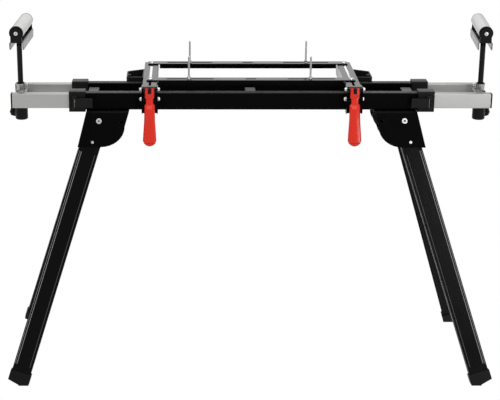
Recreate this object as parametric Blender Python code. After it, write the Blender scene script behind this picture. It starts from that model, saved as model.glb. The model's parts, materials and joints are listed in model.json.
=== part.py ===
"""Folding stand for a bench saw: two steel rails on four folding legs, two sliding
extensions with roller supports, and a pair of clamp-on brackets that carry the saw.

Metres, +Z up. X runs along the rails, the operator stands at -Y, and the floor is
Z = 0. The left side is -X. Every size below is set once and the rest follows from it.
"""

import math

import bmesh
import bpy
from mathutils import Matrix, Vector
from mathutils.geometry import tessellate_polygon

# Shared values
GAP = 0.0003  # left between neighbouring pieces
SLIDE_GAP = 0.0005  # left round a tube that slides in another
OVERRUN = 0.006  # how far a cutter runs past the face that it cuts
ROUND = 24  # sides of a large round
SMALL_ROUND = 16  # sides of a bolt or a pin
LEFT, RIGHT = -1, 1
FRONT, BACK = -1, 1
SIDE_NAMES = {LEFT: "left", RIGHT: "right"}
ROW_NAMES = {FRONT: "front", BACK: "back"}

# Main frame
RAIL_TOP = 0.849
RAIL_LENGTH = 1.048
RAIL_HEIGHT = 0.050
RAIL_DEPTH = 0.030
RAIL_WALL = 0.003
RAIL_CORNER = 0.0036
RAIL_SPACING = 0.120  # between the rails' centre lines

CROSS_TUBE_INSET = 0.062  # outer cross tubes from the rails' ends
CROSS_TUBE_WIDTH = 0.031
CROSS_TUBE_HEIGHT = 0.024
CROSS_TUBE_WALL = 0.002
CROSS_TUBE_CORNER = 0.0026
CROSS_TUBE_DROP = 0.013  # top of a cross tube below the rail's top
DRAIN_RADIUS = 0.003

COLLAR_LENGTH = 0.047
COLLAR_WALL = 0.0052
COLLAR_LIP = 0.004
COLLAR_CORNER = 0.004

# Cam levers on the front collars
CAM_PIN_RADIUS = 0.0025
CAM_RADIUS = 0.0070
CAM_HEIGHT = 0.027
CAM_PIN_INSET = 0.017  # pin from the collar's outer end
CAM_STANDOFF = 0.0015  # cam's back from the collar's face
CHEEK_THICKNESS = 0.005
CAM_ARM_LENGTH = 0.053
CAM_ARM_THICKNESS = 0.004
CAM_CURL_RADIUS = 0.008
CAM_CURL_DEGREES = 70.0

# Legs and their brackets
BRACKET_STEEL = 0.0025
BRACKET_INSIDE = 0.058  # between the two plates, square to them
BRACKET_BEND = 0.004
BRACKET_DROP = 0.102
PIVOT_INSET = 0.0825  # from the rail's end
PIVOT_DROP = 0.0335  # below the rail, midway between the plates
BRACKET_OUTER_TOP = 0.0365  # edges measured from the pivot
BRACKET_OUTER_BOTTOM = 0.0628
BRACKET_INNER_TOP = 0.0872
BRACKET_INNER_KNEE = 0.0742
BRACKET_ARC_RADIUS = 0.0700
BRACKET_KNEE_DROP = 0.044
ARC_STEPS = 8

LEG_WIDTH = 0.057
LEG_SET = 0.003  # the leg's middle outward of its pivot, so that it folds below the web
LEG_THICKNESS = 0.022
LEG_WALL = 0.0025
LEG_HEAD = 0.008  # above the pivot
LEG_HEAD_CHAMFER = 0.008
LEG_OFFSET = 0.0145  # each leg keeps to its own half of the bracket
FACE_GROOVE_WIDTH = 0.0030
FACE_GROOVE_DEPTH = 0.0010
FACE_GROOVE_INSET = 0.0085
RIB_PITCH = 0.0048
RIB_DEPTH = 0.0012
RIB_GROOVES = 3
FOOT_SPREAD = 0.2440  # a leg's pivot line meets the floor this far out from its pivot
FOOT_REACH = 0.173  # and this far out from its rail's centre

BOOT_HEIGHT = 0.0385
BOOT_SIDE_WALL = 0.0030
BOOT_FACE_WALL = 0.0020
BOOT_SOLE = 0.014
BOOT_TOE_RISE = 0.018  # height of the outer corner over the floor

PIVOT_BOLT_RADIUS = 0.0050
PIVOT_HEAD_RADIUS = 0.0080
PIVOT_HEAD_THICKNESS = 0.0045
PIVOT_SOCKET_RADIUS = 0.0038
PIVOT_SOCKET_DEPTH = 0.0030
SHOULDER_RADIUS = 0.0085
LOCK_RADIUS = 0.065  # lock button from the pivot
BUTTON_RADIUS = 0.0050
BUTTON_TRAVEL = 0.0035
BUTTON_LIP = 0.0010  # thickness of the lip that keeps the button in the leg
BUTTON_LIP_RADIUS = 0.0060
FOLD_SAG_DEGREES = {LEFT: 3.0, RIGHT: 0.5}  # folded legs lie this far below level

# Extensions
EXTENSION_OUT = 0.1693  # tube end past the rail end
EXTENSION_LENGTH = 0.480
EXTENSION_WALL = 0.002
EXTENSION_CORNER = 0.0026
CAP_THICKNESS = 0.004
CROSSBAR_WIDTH = 0.034
CROSSBAR_HEIGHT = 0.024
CROSSBAR_INSET = 0.001

# Roller supports
POST_RADIUS = 0.008
POST_WALL = 0.0015
POST_BORE_GAP = 0.0004
SLEEVE_RADIUS = 0.0125
SLEEVE_HEIGHT = 0.022
SLEEVE_FLANGE_X = 0.028
SLEEVE_FLANGE_Y = 0.040
SLEEVE_FLANGE_THICKNESS = 0.003
BUSH_WALL = 0.0018
BUSH_RIM_RADIUS = 0.0115
BUSH_RIM_HEIGHT = 0.0025
RIM_RADIUS = 0.0140
RIM_HEIGHT = 0.003
SOCKET_RADIUS = 0.0185
SOCKET_BOTTOM_DROP = 0.0465  # socket's bottom below the rail
SOCKET_CHAMFER = 0.002
KNOB_RADIUS = 0.0148
KNOB_LOBE_DEPTH = 0.0016
KNOB_LOBES = 8
KNOB_THICKNESS = 0.012
KNOB_CHAMFER = 0.002
KNOB_DROP = 0.031  # knob's axis below the rail
KNOB_BOSS_RADIUS = 0.0095
KNOB_BOSS_REACH = 0.028  # boss end from the post's axis
KNOB_STEM_RADIUS = 0.004
KNOB_DEGREES = 45.0  # knob points out and back

ROLLER_RADIUS = 0.0205
ROLLER_WALL = 0.0020
ROLLER_LENGTH = 0.184
ROLLER_RISE = 0.170  # its axis above the rail's top
ROLLER_END_RUN = 0.0008  # running gap beside an end plate
AXLE_RADIUS = 0.0045
AXLE_HEAD_RADIUS = 0.0055
AXLE_HEAD_THICKNESS = 0.0030
PLATE_THICKNESS = 0.008  # an upright plate, a spacer and the disc behind it
PLATE_STEEL = 0.0025
PLATE_RADIUS = 0.0160
PLATE_FOOT_WIDTH = 0.034
DISC_RADIUS = 0.0205
DISC_THICKNESS = 0.0040
HUB_DEPTH = 0.008
CRADLE_WIDTH = 0.040
CRADLE_STEEL = 0.0020
CRADLE_WALL_HEIGHT = 0.024
CRADLE_RISE = 0.144  # its top above the rail's top
CRADLE_CORNER = 0.010
CRADLE_BEND = 0.0025
FRONT_REACH = 0.053  # front end of the cradle from the post
POST_FOOT_CLEAR = 0.006  # post's end above the socket's end
REST_SWIVEL_DEGREES = {LEFT: 2.5, RIGHT: 4.5}

# Saw mount
MOUNT_INSET = 0.2295  # bracket's centre from the rails' ends
MOUNT_WIDTH = 0.0422
MOUNT_STEEL = 0.0025
MOUNT_TOP = 0.0225  # plate top above the rail
MOUNT_FRONT_REACH = 0.0145  # bracket's ends past the rails' outer faces
MOUNT_BACK_REACH = 0.147
MOUNT_SLOT_WIDTH = 0.0072
MOUNT_SLOT_INSET = 0.012
MOUNT_TAIL_DROP = 0.015  # rear of the flange below the rail's top
MOUNT_TAIL_CHAMFER = 0.010
HOUSING_WIDTH = 0.0468
HOUSING_STEEL = 0.0025
HOUSING_DEPTH = 0.031
HOUSING_BELOW = 0.005  # below the rail
HOUSING_CHAMFER = 0.006
HOUSING_LAP = 0.014  # how far the housing laps over the rail's top
HOUSING_WEB_SETBACK = 0.0078  # front face of the web that joins the cheeks
HOUSING_WEB_HEIGHT = 0.034
CLAMP_PIN_RADIUS = 0.0035
CLAMP_PIN_HEAD = 0.0056
CLAMP_PIN_HEAD_THICKNESS = 0.0036
LEVER_PIN_REACH = 0.0240  # pins in front of the front rail's face
JAW_PIN_REACH = 0.0130
LEVER_PIN_DROP = 0.005  # below the plate's top
JAW_PIN_DROP = 0.014  # below the rail's top

BAR_END_MARGIN = 0.011  # past a bracket's centre
BAR_DEPTH = 0.034
BAR_STEEL = 0.0030
BAR_FLANGE = 0.0150
BAR_CORNER = 0.0030
BAR_FLANGE_INSET = 0.0245  # flange's end short of a bracket's centre
FRONT_BAR_SETBACK = 0.0510  # its front edge from the front rail's outer face
BACK_BAR_REACH = 0.1110  # its front edge from the back rail's outer face
BAR_SLOT_WIDTH = 0.0085
BAR_SLOT_INSET = 0.0575  # slot's outer end from the bar's end
BAR_SLOT_HALF = 0.070
BAR_MIDDLE_SLOT_HALF = 0.0165

SAW_BOLT_RADIUS = 0.0025
SAW_BOLT_HEIGHT = 0.068
SAW_BOLT_HEAD_RADIUS = 0.0065
SAW_NUT_RADIUS = 0.0046
SAW_NUT_HEIGHT = 0.0050
SAW_WASHER_RADIUS = 0.0058
SAW_WASHER_HEIGHT = 0.0016
FRONT_BOLT_SHIFT = 0.0035  # the front bolts stand this far to the left
CORNER_HEAD_RADIUS = 0.0070
CORNER_HEAD_HEIGHT = 0.0035

LEVER_LENGTH = 0.164  # pin to tip
LEVER_LEAN_DEGREES = 14.0
LEVER_BORE_GAP = 0.0003
LEVER_CAM_RADIUS = 0.0085
LEVER_CAM_THROW = 0.0030
LEVER_CAM_WIDTH = 0.0340
LEVER_HEAD_HALF = 0.0135
LEVER_NECK_HALF = 0.0102
LEVER_GRIP_TOP_HALF = 0.0148
LEVER_GRIP_END_HALF = 0.0180
LEVER_HEAD_THICKNESS = 0.0170
LEVER_HEAD_FORWARD = 0.0030  # head's middle in front of the pin
LEVER_NOTCH_WIDTH = 0.0075
LEVER_NOTCH_DROP = 0.0060  # notch's foot below the pin
LEVER_NECK_THICKNESS = 0.0100
LEVER_GRIP_THICKNESS = 0.0200

JAW_WIDTH = 0.034
JAW_PAD_HEIGHT = 0.026
JAW_THICKNESS = 0.009
JAW_RELIEF = 0.004
JAW_HEAD_RADIUS = 0.0075
FINGER_WIDTH = 0.0030
FINGER_DEPTH = 0.0060

TRAY_WIDTH = 0.052
TRAY_FRONT_GAP = 0.003  # behind the back rail
TRAY_DEPTH_INNER = 0.106
TRAY_DEPTH_OUTER = 0.082
TRAY_RIM = 0.010  # above the rail's top
TRAY_HEIGHT = 0.026
TRAY_WALL = 0.004
TRAY_FLOOR = 0.004
TRAY_NUB_RADIUS = 0.006
TRAY_CORNER = 0.006

# Worked out from the above
RAIL_BOTTOM = RAIL_TOP - RAIL_HEIGHT
RAIL_MIDDLE = RAIL_TOP - RAIL_HEIGHT / 2
RAIL_Y = RAIL_SPACING / 2
RAIL_END = RAIL_LENGTH / 2
RAIL_INSIDE_FACE = RAIL_Y - RAIL_DEPTH / 2
RAIL_OUTSIDE_FACE = RAIL_Y + RAIL_DEPTH / 2
CROSS_TUBE_X = RAIL_END - CROSS_TUBE_INSET
COLLAR_END = RAIL_END + GAP + COLLAR_LIP
PIVOT_X = RAIL_END - PIVOT_INSET
FOOT_X = PIVOT_X + FOOT_SPREAD
FOOT_Y = RAIL_Y + FOOT_REACH
EXTENSION_HEIGHT = RAIL_HEIGHT - 2 * RAIL_WALL - 2 * SLIDE_GAP
EXTENSION_DEPTH = RAIL_DEPTH - 2 * RAIL_WALL - 2 * SLIDE_GAP
EXTENSION_END = RAIL_END + EXTENSION_OUT
EXTENSION_INSIDE_FACE = RAIL_Y - EXTENSION_DEPTH / 2
CROSSBAR_TOP = RAIL_TOP - CROSS_TUBE_DROP
POST_X = EXTENSION_END - CROSSBAR_INSET - CROSSBAR_WIDTH / 2
MOUNT_X = RAIL_END - MOUNT_INSET
MOUNT_FRONT_Y = -(RAIL_OUTSIDE_FACE + MOUNT_FRONT_REACH)
MOUNT_BACK_Y = RAIL_OUTSIDE_FACE + MOUNT_BACK_REACH
LEVER_PIN_Y = -(RAIL_OUTSIDE_FACE + LEVER_PIN_REACH)
JAW_PIN_Y = -(RAIL_OUTSIDE_FACE + JAW_PIN_REACH)
BAR_HALF_LENGTH = MOUNT_X + BAR_END_MARGIN
BAR_FLANGE_HALF = MOUNT_X - BAR_FLANGE_INSET
BAR_SLOT_CENTRE = BAR_HALF_LENGTH - BAR_SLOT_INSET - BAR_SLOT_HALF
BAR_FRONT_EDGE_Y = {FRONT: FRONT_BAR_SETBACK - RAIL_OUTSIDE_FACE,
                    BACK: RAIL_OUTSIDE_FACE + BACK_BAR_REACH}
PLATE_TOP = RAIL_TOP + MOUNT_TOP
BAR_TOP = PLATE_TOP + GAP + BAR_STEEL
LEVER_PIN_Z = PLATE_TOP - LEVER_PIN_DROP
JAW_PIN_Z = RAIL_TOP - JAW_PIN_DROP
ROLLER_AXIS_Z = RAIL_TOP + ROLLER_RISE
CRADLE_TOP_Z = RAIL_TOP + CRADLE_RISE
CRADLE_LENGTH = ROLLER_LENGTH + 2 * (PLATE_THICKNESS + ROLLER_END_RUN)


# Materials and objects
def clear_scene():
    for item in list(bpy.data.objects):
        bpy.data.objects.remove(item, do_unlink=True)


def material(name, colour, roughness, metallic=0.0):
    made = bpy.data.materials.new(name)
    made.use_nodes = True
    shader = made.node_tree.nodes["Principled BSDF"]
    shader.inputs["Base Color"].default_value = (*colour, 1.0)
    shader.inputs["Roughness"].default_value = roughness
    shader.inputs["Metallic"].default_value = metallic
    made.diffuse_color = (*colour, 1.0)
    return made


FINISHES = {
    "black_powder": ((0.020, 0.020, 0.021), 0.55, 0.0),
    "black_gloss": ((0.012, 0.012, 0.013), 0.22, 0.0),
    "black_plastic": ((0.028, 0.028, 0.028), 0.50, 0.0),
    "black_rubber": ((0.022, 0.022, 0.022), 0.80, 0.0),
    "black_anodised": ((0.030, 0.030, 0.031), 0.35, 0.7),
    "silver_anodised": ((0.560, 0.560, 0.550), 0.38, 0.9),
    "zinc": ((0.720, 0.720, 0.700), 0.28, 1.0),
    "red_plastic": ((0.700, 0.030, 0.015), 0.35, 0.0),
}


def add_object(name, mesh_data, finish, matrix=None, smooth=False):
    colour, roughness, metallic = FINISHES[finish]
    mesh = bpy.data.meshes.new(name)
    bmesh.ops.recalc_face_normals(mesh_data, faces=mesh_data.faces)
    mesh_data.to_mesh(mesh)
    mesh_data.free()
    if smooth:
        mesh.shade_smooth()
        mesh.set_sharp_from_angle(angle=math.radians(35.0))
    mesh.materials.append(material(name, colour, roughness, metallic))
    made = bpy.data.objects.new(name, mesh)
    bpy.context.collection.objects.link(made)
    made.matrix_world = matrix or Matrix()
    return made


def add_cutter(name, mesh_data, matrix=None):
    made = add_object(name, mesh_data, "black_powder", matrix)
    made.hide_render = True
    made.display_type = "WIRE"
    return made


def combine(target, tool, operation):
    step = target.modifiers.new(operation.lower(), "BOOLEAN")
    step.operation = operation
    step.solver = "EXACT"
    step.object = tool


def attach(child, parent):
    bpy.context.view_layer.update()
    child.parent = parent
    child.matrix_parent_inverse = parent.matrix_world.inverted()


# Outlines
def rectangle(width, height, centre=(0.0, 0.0), corner=0.0, steps=2):
    half_w, half_h = width / 2, height / 2
    cx, cy = centre
    if corner == 0.0:
        return [(cx - half_w, cy - half_h), (cx + half_w, cy - half_h),
                (cx + half_w, cy + half_h), (cx - half_w, cy + half_h)]
    points = []
    for turn, (sx, sy) in enumerate([(1, -1), (1, 1), (-1, 1), (-1, -1)]):
        mid = (cx + sx * (half_w - corner), cy + sy * (half_h - corner))
        start = math.radians(-90.0 + 90.0 * turn)
        points += arc(mid, corner, start, start + math.pi / 2, steps)
    return points


def arc(centre, radius, start, end, steps):
    return [(centre[0] + radius * math.cos(start + (end - start) * i / steps),
             centre[1] + radius * math.sin(start + (end - start) * i / steps))
            for i in range(steps + 1)]


def circle(radius, sides, centre=(0.0, 0.0)):
    return arc(centre, radius, 0.0, 2 * math.pi, sides)[:-1]


def slot(length, width, centre, steps=6):
    """A round-ended slot along the first direction."""
    reach = (length - width) / 2
    right = arc((centre[0] + reach, centre[1]), width / 2, -math.pi / 2, math.pi / 2, steps)
    left = arc((centre[0] - reach, centre[1]), width / 2, math.pi / 2, 3 * math.pi / 2, steps)
    return right + left


def grooved_side(length, grooves, width, depth):
    """Points along one side, from start to end, with V grooves at the given places."""
    points = [(0.0, 0.0)]
    for place in grooves:
        points += [(place - width / 2, 0.0), (place, depth), (place + width / 2, 0.0)]
    return points, length


def leg_outline(side):
    """Section of a leg: two grooves down each broad face and ribs down each edge."""
    face = [FACE_GROOVE_INSET, LEG_WIDTH - FACE_GROOVE_INSET]
    first = LEG_THICKNESS / 2 - RIB_PITCH * (RIB_GROOVES - 1) / 2
    edge = [first + RIB_PITCH * i for i in range(RIB_GROOVES)]
    sides = [grooved_side(LEG_WIDTH, face, FACE_GROOVE_WIDTH, FACE_GROOVE_DEPTH),
             grooved_side(LEG_THICKNESS, edge, RIB_PITCH * RIB_FILL_SHARE, RIB_DEPTH)] * 2
    corner = Vector((side * LEG_SET - LEG_WIDTH / 2, -LEG_THICKNESS / 2))
    along = Vector((1.0, 0.0))
    outline = []
    for points, length in sides:
        inward = Vector((-along.y, along.x))
        outline += [tuple(corner + along * a + inward * b) for a, b in points]
        corner = corner + along * length
        along = inward
    return outline


RIB_FILL_SHARE = 0.8  # share of a rib's pitch that its groove takes


# Solids
AXES = {
    "x": lambda a, b, c: (c, a, b),
    "y": lambda a, b, c: (a, c, b),
    "z": lambda a, b, c: (a, b, c),
}


def prism(outer, start, end, axis, holes=(), mesh_data=None):
    """Pushes an outline, with any holes in it, from start to end along an axis.
    An outline along x is given in (y, z), along y in (x, z) and along z in (x, y)."""
    data = mesh_data or bmesh.new()
    to_space = AXES[axis]
    loops = [list(outer)] + [list(hole) for hole in holes]
    low, high = [], []
    for loop in loops:
        low.append([data.verts.new(to_space(a, b, start)) for a, b in loop])
        high.append([data.verts.new(to_space(a, b, end)) for a, b in loop])
    for bottom, top in zip(low, high):
        count = len(bottom)
        for i in range(count):
            j = (i + 1) % count
            data.faces.new((bottom[i], bottom[j], top[j], top[i]))
    flat = [[Vector((a, b, 0.0)) for a, b in loop] for loop in loops]
    for ring in (low, high):
        points = [vert for loop in ring for vert in loop]
        for triangle in tessellate_polygon(flat):
            data.faces.new([points[i] for i in triangle])
    return data


def block(low, high, mesh_data=None):
    outline = [(low[0], low[1]), (high[0], low[1]), (high[0], high[1]), (low[0], high[1])]
    return prism(outline, low[2], high[2], "z", mesh_data=mesh_data)


def lathe(profile, sides, matrix=None, mesh_data=None):
    """Turns (radius, height) points about z. A profile that starts and ends on the
    axis is closed there, and one that keeps off it makes a ring."""
    data = mesh_data or bmesh.new()
    rings = []
    for radius, height in profile:
        if radius == 0.0:
            rings.append([data.verts.new((0.0, 0.0, height))])
            continue
        rings.append([data.verts.new((radius * math.cos(2 * math.pi * i / sides),
                                      radius * math.sin(2 * math.pi * i / sides), height))
                      for i in range(sides)])
    pairs = list(zip(rings, rings[1:]))
    if profile[0][0] != 0.0:
        pairs.append((rings[-1], rings[0]))
    for one, two in pairs:
        for i in range(sides):
            j = (i + 1) % sides
            corners = [one[i % len(one)], one[j % len(one)], two[j % len(two)], two[i % len(two)]]
            corners = list(dict.fromkeys(corners))
            if len(corners) > 2:
                data.faces.new(corners)
    if matrix is not None:
        moved = [vert for ring in rings for vert in ring]
        bmesh.ops.transform(data, matrix=matrix, verts=moved)
    return data


def loft(sections, mesh_data=None):
    """Joins rings of equally many points, and closes the first and the last."""
    data = mesh_data or bmesh.new()
    rings = [[data.verts.new(point) for point in section] for section in sections]
    for one, two in zip(rings, rings[1:]):
        count = len(one)
        for i in range(count):
            j = (i + 1) % count
            data.faces.new((one[i], one[j], two[j], two[i]))
    data.faces.new(rings[0])
    data.faces.new(rings[-1])
    return data


def turn_to(direction, origin=(0.0, 0.0, 0.0)):
    """Places z along a direction, from an origin."""
    turned = Vector((0.0, 0.0, 1.0)).rotation_difference(Vector(direction))
    return Matrix.Translation(origin) @ turned.to_matrix().to_4x4()


def cylinder(radius, start, end, direction, origin, sides, mesh_data=None):
    profile = [(0.0, start), (radius, start), (radius, end), (0.0, end)]
    return lathe(profile, sides, turn_to(direction, origin), mesh_data)


# Main frame
def rail_section(row):
    centre = (row * RAIL_Y, RAIL_MIDDLE)
    outer = rectangle(RAIL_DEPTH, RAIL_HEIGHT, centre, RAIL_CORNER)
    inner = rectangle(RAIL_DEPTH - 2 * RAIL_WALL, RAIL_HEIGHT - 2 * RAIL_WALL, centre)
    return outer, inner


def make_rail_frame():
    """Both rails and the cross tubes welded between them. Each cross tube has a
    drain hole, as coated weldments do."""
    outer, inner = rail_section(FRONT)
    frame = add_object("rail_frame", prism(outer, -RAIL_END, RAIL_END, "x", [inner]),
                       "black_powder")
    outer, inner = rail_section(BACK)
    back = prism(outer, -RAIL_END, RAIL_END, "x", [inner])
    combine(frame, add_cutter("rail_frame_back", back), "UNION")
    tubes, drains = bmesh.new(), bmesh.new()
    reach = RAIL_INSIDE_FACE + RAIL_WALL / 2
    for x in (-CROSS_TUBE_X, 0.0, CROSS_TUBE_X):
        centre = (x, RAIL_TOP - CROSS_TUBE_DROP - CROSS_TUBE_HEIGHT / 2)
        outer = rectangle(CROSS_TUBE_WIDTH, CROSS_TUBE_HEIGHT, centre, CROSS_TUBE_CORNER)
        inner = rectangle(CROSS_TUBE_WIDTH - 2 * CROSS_TUBE_WALL,
                          CROSS_TUBE_HEIGHT - 2 * CROSS_TUBE_WALL, centre)
        prism(outer, -reach, reach, "y", [inner], tubes)
        low = centre[1] - CROSS_TUBE_HEIGHT / 2
        prism(circle(DRAIN_RADIUS, SMALL_ROUND, (x, 0.0)), low - OVERRUN,
              low + CROSS_TUBE_WALL + OVERRUN, "z", mesh_data=drains)
    combine(frame, add_cutter("rail_frame_tubes", tubes), "UNION")
    combine(frame, add_cutter("rail_frame_drains", drains), "DIFFERENCE")


def collar_solid(side, row, data):
    """A sleeve over the rail's end, with a lip that guides the extension tube."""
    centre = (row * RAIL_Y, RAIL_MIDDLE)
    grow = 2 * (GAP + COLLAR_WALL)
    outer = rectangle(RAIL_DEPTH + grow, RAIL_HEIGHT + grow, centre, COLLAR_CORNER)
    seat = rectangle(RAIL_DEPTH + 2 * GAP, RAIL_HEIGHT + 2 * GAP, centre)
    mouth = rectangle(EXTENSION_DEPTH + 2 * GAP, EXTENSION_HEIGHT + 2 * GAP, centre)
    inner_x = COLLAR_END - COLLAR_LENGTH
    step_x = RAIL_END + GAP
    rings = []
    for loop, x in ((mouth, COLLAR_END), (mouth, step_x), (seat, step_x), (seat, inner_x)):
        rings.append([data.verts.new((side * x, a, b)) for a, b in loop])
    ends = [[data.verts.new((side * x, a, b)) for a, b in outer] for x in (COLLAR_END, inner_x)]
    for one, two in list(zip(rings, rings[1:])) + [(ends[0], ends[1])]:
        for i in range(len(one)):
            j = (i + 1) % len(one)
            data.faces.new((one[i], one[j], two[j], two[i]))
    for edge, hole in ((ends[0], rings[0]), (ends[1], rings[-1])):
        flat = [[Vector((v.co.y, v.co.z, 0.0)) for v in loop] for loop in (edge, hole)]
        points = edge + hole
        for triangle in tessellate_polygon(flat):
            data.faces.new([points[i] for i in triangle])
    return data


def cam_pin_place(side):
    """Where a front collar's lever turns: x and y of its upright pin."""
    face = -(RAIL_OUTSIDE_FACE + GAP + COLLAR_WALL)
    return side * (COLLAR_END - CAM_PIN_INSET), face - CAM_STANDOFF - CAM_RADIUS


def make_front_collar(side):
    """The collar with two cheeks and the pin that the lever turns on."""
    name = "collar_front_" + SIDE_NAMES[side]
    collar = add_object(name, collar_solid(side, FRONT, bmesh.new()), "black_plastic")
    pin_x, pin_y = cam_pin_place(side)
    back_y = -(RAIL_OUTSIDE_FACE + GAP + COLLAR_WALL / 2)
    cheek = [(pin_x - CAM_RADIUS, back_y), (pin_x - CAM_RADIUS, pin_y)]
    cheek += arc((pin_x, pin_y), CAM_RADIUS, math.pi, 2 * math.pi, ARC_STEPS)[1:]
    cheek += [(pin_x + CAM_RADIUS, back_y)]
    inside = CAM_HEIGHT / 2 + GAP
    for level, sign in (("upper", 1), ("lower", -1)):
        low, high = sorted((sign * inside, sign * (inside + CHEEK_THICKNESS)))
        cheek_data = prism(cheek, RAIL_MIDDLE + low, RAIL_MIDDLE + high, "z")
        combine(collar, add_cutter(name + "_" + level + "_cheek", cheek_data), "UNION")
    reach = inside + CHEEK_THICKNESS / 2
    pin = cylinder(CAM_PIN_RADIUS, -reach, reach, (0, 0, 1), (pin_x, pin_y, RAIL_MIDDLE),
                   SMALL_ROUND)
    combine(collar, add_cutter(name + "_pin", pin), "UNION")


def make_cam_lever(side):
    """A flat lever that wraps the pin and curls away from the rail at its end."""
    pin_x, pin_y = cam_pin_place(side)
    thick, radius = CAM_ARM_THICKNESS, CAM_RADIUS
    straight = CAM_ARM_LENGTH - CAM_CURL_RADIUS - thick / 2
    centre = (straight, -radius + thick / 2 - CAM_CURL_RADIUS)
    curl_end = math.pi / 2 - math.radians(CAM_CURL_DEGREES)
    outside = arc(centre, CAM_CURL_RADIUS - thick / 2, math.pi / 2, curl_end, ARC_STEPS)
    inside = arc(centre, CAM_CURL_RADIUS + thick / 2, math.pi / 2, curl_end, ARC_STEPS)
    join = -math.asin((radius - thick) / radius)
    round_pin = arc((0.0, 0.0), radius, join, 1.5 * math.pi, ROUND)
    outline = [(-side * x, y) for x, y in outside + inside[::-1] + round_pin]
    half = CAM_HEIGHT / 2
    bore = circle(CAM_PIN_RADIUS + GAP, SMALL_ROUND)
    add_object("cam_lever_" + SIDE_NAMES[side], prism(outline, -half, half, "z", [bore]),
               "black_plastic", Matrix.Translation((pin_x, pin_y, RAIL_MIDDLE)), smooth=True)


def make_collars():
    for side in (LEFT, RIGHT):
        make_front_collar(side)
        make_cam_lever(side)
        add_object("collar_back_" + SIDE_NAMES[side], collar_solid(side, BACK, bmesh.new()),
                   "black_plastic")


# Leg geometry
def leg_frame(side, row):
    """Origin on a leg's pivot, z up along the bracket's plates, y square to them."""
    offset = LEG_OFFSET * leg_half(side)
    tilt = leg_tilt(side)
    pivot_z = RAIL_BOTTOM - PIVOT_DROP
    middle_y = RAIL_Y + PIVOT_DROP * math.tan(tilt)
    y = middle_y + offset * math.cos(tilt)
    z = pivot_z + offset * math.sin(tilt)
    spot = Matrix.Translation((side * PIVOT_X, row * y, z))
    return spot @ Matrix.Rotation(row * tilt, 4, "X")


def leg_half(side):
    """Left legs keep to the outer plate and right legs to the inner one, so that
    they lie side by side when folded."""
    return 1 if side == LEFT else -1


def leg_tilt(side):
    """Lean of a leg towards its own side of the stand, so that it meets the floor
    at FOOT_Y."""
    offset = LEG_OFFSET * leg_half(side)
    tilt = 0.0
    for _ in range(TILT_PASSES):
        start_y = RAIL_Y + PIVOT_DROP * math.tan(tilt) + offset * math.cos(tilt)
        start_z = RAIL_BOTTOM - PIVOT_DROP + offset * math.sin(tilt)
        tilt = math.atan((FOOT_Y - start_y) / start_z)
    return tilt


TILT_PASSES = 30


def leg_reach(side):
    """Pivot to floor, measured down the plane of the plates."""
    tilt = leg_tilt(side)
    pivot_z = RAIL_BOTTOM - PIVOT_DROP + LEG_OFFSET * leg_half(side) * math.sin(tilt)
    return pivot_z / math.cos(tilt)


def leg_splay(side):
    return math.atan((FOOT_X - PIVOT_X) / leg_reach(side))


def leg_length(side):
    return leg_reach(side) / math.cos(leg_splay(side))


def leg_matrix(side, row):
    return leg_frame(side, row) @ Matrix.Rotation(-side * leg_splay(side), 4, "Y")


def fold_degrees(side):
    return 90.0 + math.degrees(leg_splay(side)) - FOLD_SAG_DEGREES[side]


def bracket_outline(side):
    """Front view of a leg bracket: x outward from the pivot, z down from the rail."""
    top = -GAP
    knee = -BRACKET_KNEE_DROP
    run = BRACKET_DROP - BRACKET_KNEE_DROP
    centre = (-(BRACKET_INNER_KNEE - BRACKET_ARC_RADIUS), knee)
    curve = [(centre[0] - BRACKET_ARC_RADIUS * math.cos(math.pi / 2 * i / ARC_STEPS),
              knee - run * math.sin(math.pi / 2 * i / ARC_STEPS)) for i in range(ARC_STEPS + 1)]
    points = [(BRACKET_OUTER_TOP, top), (-BRACKET_INNER_TOP, top)] + curve
    points.append((BRACKET_OUTER_BOTTOM, -BRACKET_DROP))
    return [(side * (PIVOT_X + x), RAIL_BOTTOM + z) for x, z in points]


def bracket_section(side, row):
    """Cross section of a leg bracket: a level web under the rail and two plates
    that lean out together."""
    tilt = leg_tilt(side)
    lean = math.tan(tilt)
    outer = (BRACKET_INSIDE / 2 + BRACKET_STEEL) / math.cos(tilt)
    inner = BRACKET_INSIDE / 2 / math.cos(tilt)
    top, web = -GAP, -GAP - BRACKET_STEEL
    low = -BRACKET_DROP - OVERRUN
    bend = BRACKET_BEND
    points = [(-outer + bend, top), (outer - bend, top), (outer, top - bend), (outer, low),
              (inner, low), (inner, web), (-inner, web), (-inner, low), (-outer, low),
              (-outer, top - bend)]
    return [(row * (RAIL_Y + y - z * lean), RAIL_BOTTOM + z) for y, z in points]


def make_leg_bracket(side, row):
    name = "leg_bracket_" + ROW_NAMES[row] + "_" + SIDE_NAMES[side]
    near = side * (PIVOT_X - BRACKET_INNER_TOP - OVERRUN)
    far = side * (PIVOT_X + BRACKET_OUTER_BOTTOM + OVERRUN)
    low, high = sorted((near, far))
    bracket = add_object(name, prism(bracket_section(side, row), low, high, "x"), "black_powder")
    reach = RAIL_Y + BRACKET_INSIDE + BRACKET_DROP
    shape = prism(bracket_outline(side), row * reach, 0.0, "y")
    combine(bracket, add_cutter(name + "_outline", shape), "INTERSECT")
    frame = leg_frame(side, row)
    drill = bmesh.new()
    through = BRACKET_INSIDE
    splay = leg_splay(side)
    fold = splay - math.radians(fold_degrees(side))
    spots = [((0.0, 0.0), PIVOT_BOLT_RADIUS + GAP)]
    for angle in (splay, fold):
        spot = (side * LOCK_RADIUS * math.sin(angle), -LOCK_RADIUS * math.cos(angle))
        spots.append((spot, BUTTON_RADIUS + GAP))
    for index, ((x, z), radius) in enumerate(spots):
        start = -through if index == 0 else 0.0
        cylinder(radius, row * start, row * through, (0, 1, 0), (x, 0.0, z), SMALL_ROUND, drill)
    combine(bracket, add_cutter(name + "_holes", drill, frame), "DIFFERENCE")


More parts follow.
